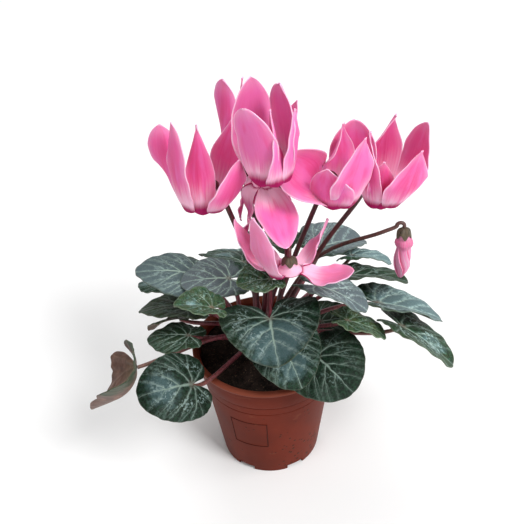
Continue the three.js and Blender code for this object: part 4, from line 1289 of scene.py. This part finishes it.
class CYCLAMEN_OT_bud(bpy.types.Operator):
    """Make the closed bud, its calyx and its stalk"""
    bl_idname = "cyclamen.bud"
    bl_label = "Bud"

    def execute(self, context):
        settings = context.scene.cyclamen_flower
        make_bud(bud_paint(settings))
        sepals = bpy.data.materials.get("sepal_skin") or calyx_paint(settings)
        make_calyx("bud_sepals", "bud_calyx", BUD["calyx"] - UP * (CALYX_TOP + GAP), 0.98, 1.35, sepals)
        line = flower_stalk_line(BUD["root"], BUD["calyx"], BUD["side"], BUD["bow"], BUD_HOOK)
        piece = rod("bud_stem", [(line, np.linspace(*BUD_HOOK["stem"], len(line)))])
        paint = stalk_paint("bud_stalk", settings.bud_stalk, (0.09, 0.038, 0.028))
        finish(piece, "bud_stalk", "bud_stalk", materials=(paint,))
        return {"FINISHED"}


class CYCLAMEN_OT_stage(bpy.types.Operator):
    """Set the pale floor, the soft lights and the camera"""
    bl_idname = "cyclamen.stage"
    bl_label = "Stage"

    def execute(self, context):
        settings = context.scene.cyclamen_stage
        scene = context.scene
        deselect()
        bpy.ops.mesh.primitive_plane_add(size=8, location=(0, 0, 0))
        floor = context.object
        floor.name = "floor"
        paint = Paint("floor_paper", Roughness=0.9)
        paint.colour(paint.shades(settings.floor, 1, 0.98, paint.noise(paint.place(), 3, 2)))
        wear(floor, paint.material)
        floor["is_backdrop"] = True
        scene.world = bpy.data.worlds.new("studio")
        scene.world.use_nodes = True
        background = scene.world.node_tree.nodes["Background"]
        background.inputs["Color"].default_value = (1, 1, 1, 1)
        background.inputs["Strength"].default_value = settings.sky
        for name, (place, size, power) in LAMPS.items():
            lamp = bpy.data.lights.new(name, "AREA")
            lamp.energy, lamp.size = settings.lamp * power, size
            self.aim(bpy.data.objects.new(name, lamp), place, (0, 0, 0.15))
        camera = bpy.data.objects.new("camera", bpy.data.cameras.new("camera"))
        camera.data.lens, camera.data.sensor_width = CAMERA["lens"], CAMERA["sensor"]
        self.aim(camera, CAMERA["place"], CAMERA["target"])
        camera.rotation_euler.rotate_axis("Z", math.radians(CAMERA["roll"]))
        scene.camera = camera
        scene.view_settings.view_transform = "Standard"
        return {"FINISHED"}

    def aim(self, thing, place, target):
        """Puts a lamp or the camera in its place and points it at the target."""
        thing.location = place
        thing.rotation_euler = (Vector(target) - thing.location).to_track_quat("-Z", "Y").to_euler()
        bpy.context.scene.collection.objects.link(thing)


class CYCLAMEN_PT_panel(bpy.types.Panel):
    """The cyclamen's pieces and settings"""
    bl_label = "Potted Cyclamen"
    bl_idname = "CYCLAMEN_PT_panel"
    bl_space_type = "VIEW_3D"
    bl_region_type = "UI"
    bl_category = "Cyclamen"

    def draw(self, context):
        for group in GROUPS:
            settings = getattr(context.scene, group)
            box = self.layout.box()
            for key in settings.__annotations__:
                box.prop(settings, key)
        for operator in OPERATORS:
            self.layout.operator(operator.bl_idname)


GROUPS = {
    "cyclamen_pot": PotSettings, "cyclamen_leaf": LeafSettings,
    "cyclamen_flower": FlowerSettings, "cyclamen_stage": StageSettings,
}
OPERATORS = (CYCLAMEN_OT_pot, CYCLAMEN_OT_soil, CYCLAMEN_OT_leaf_stalks, CYCLAMEN_OT_leaves,
             CYCLAMEN_OT_flowers, CYCLAMEN_OT_bud, CYCLAMEN_OT_stage)
CLASSES = (*GROUPS.values(), *OPERATORS, CYCLAMEN_PT_panel)


def register():
    for cls in CLASSES:
        bpy.utils.register_class(cls)
    for name, group in GROUPS.items():
        setattr(bpy.types.Scene, name, bpy.props.PointerProperty(type=group))


def unregister():
    for name in GROUPS:
        delattr(bpy.types.Scene, name)
    for cls in reversed(CLASSES):
        bpy.utils.unregister_class(cls)


def main():
    register()
    bpy.ops.cyclamen.pot()
    bpy.ops.cyclamen.soil()
    bpy.ops.cyclamen.leaf_stalks()
    bpy.ops.cyclamen.leaves()
    bpy.ops.cyclamen.flowers()
    bpy.ops.cyclamen.bud()
    bpy.ops.cyclamen.stage()
    sizes = {"cad": CAD_BOX, "visual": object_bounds()}
    sizes = {key: [[float(v) for v in corner] for corner in box] for key, box in sizes.items()}


if __name__ == "__main__":
    main()
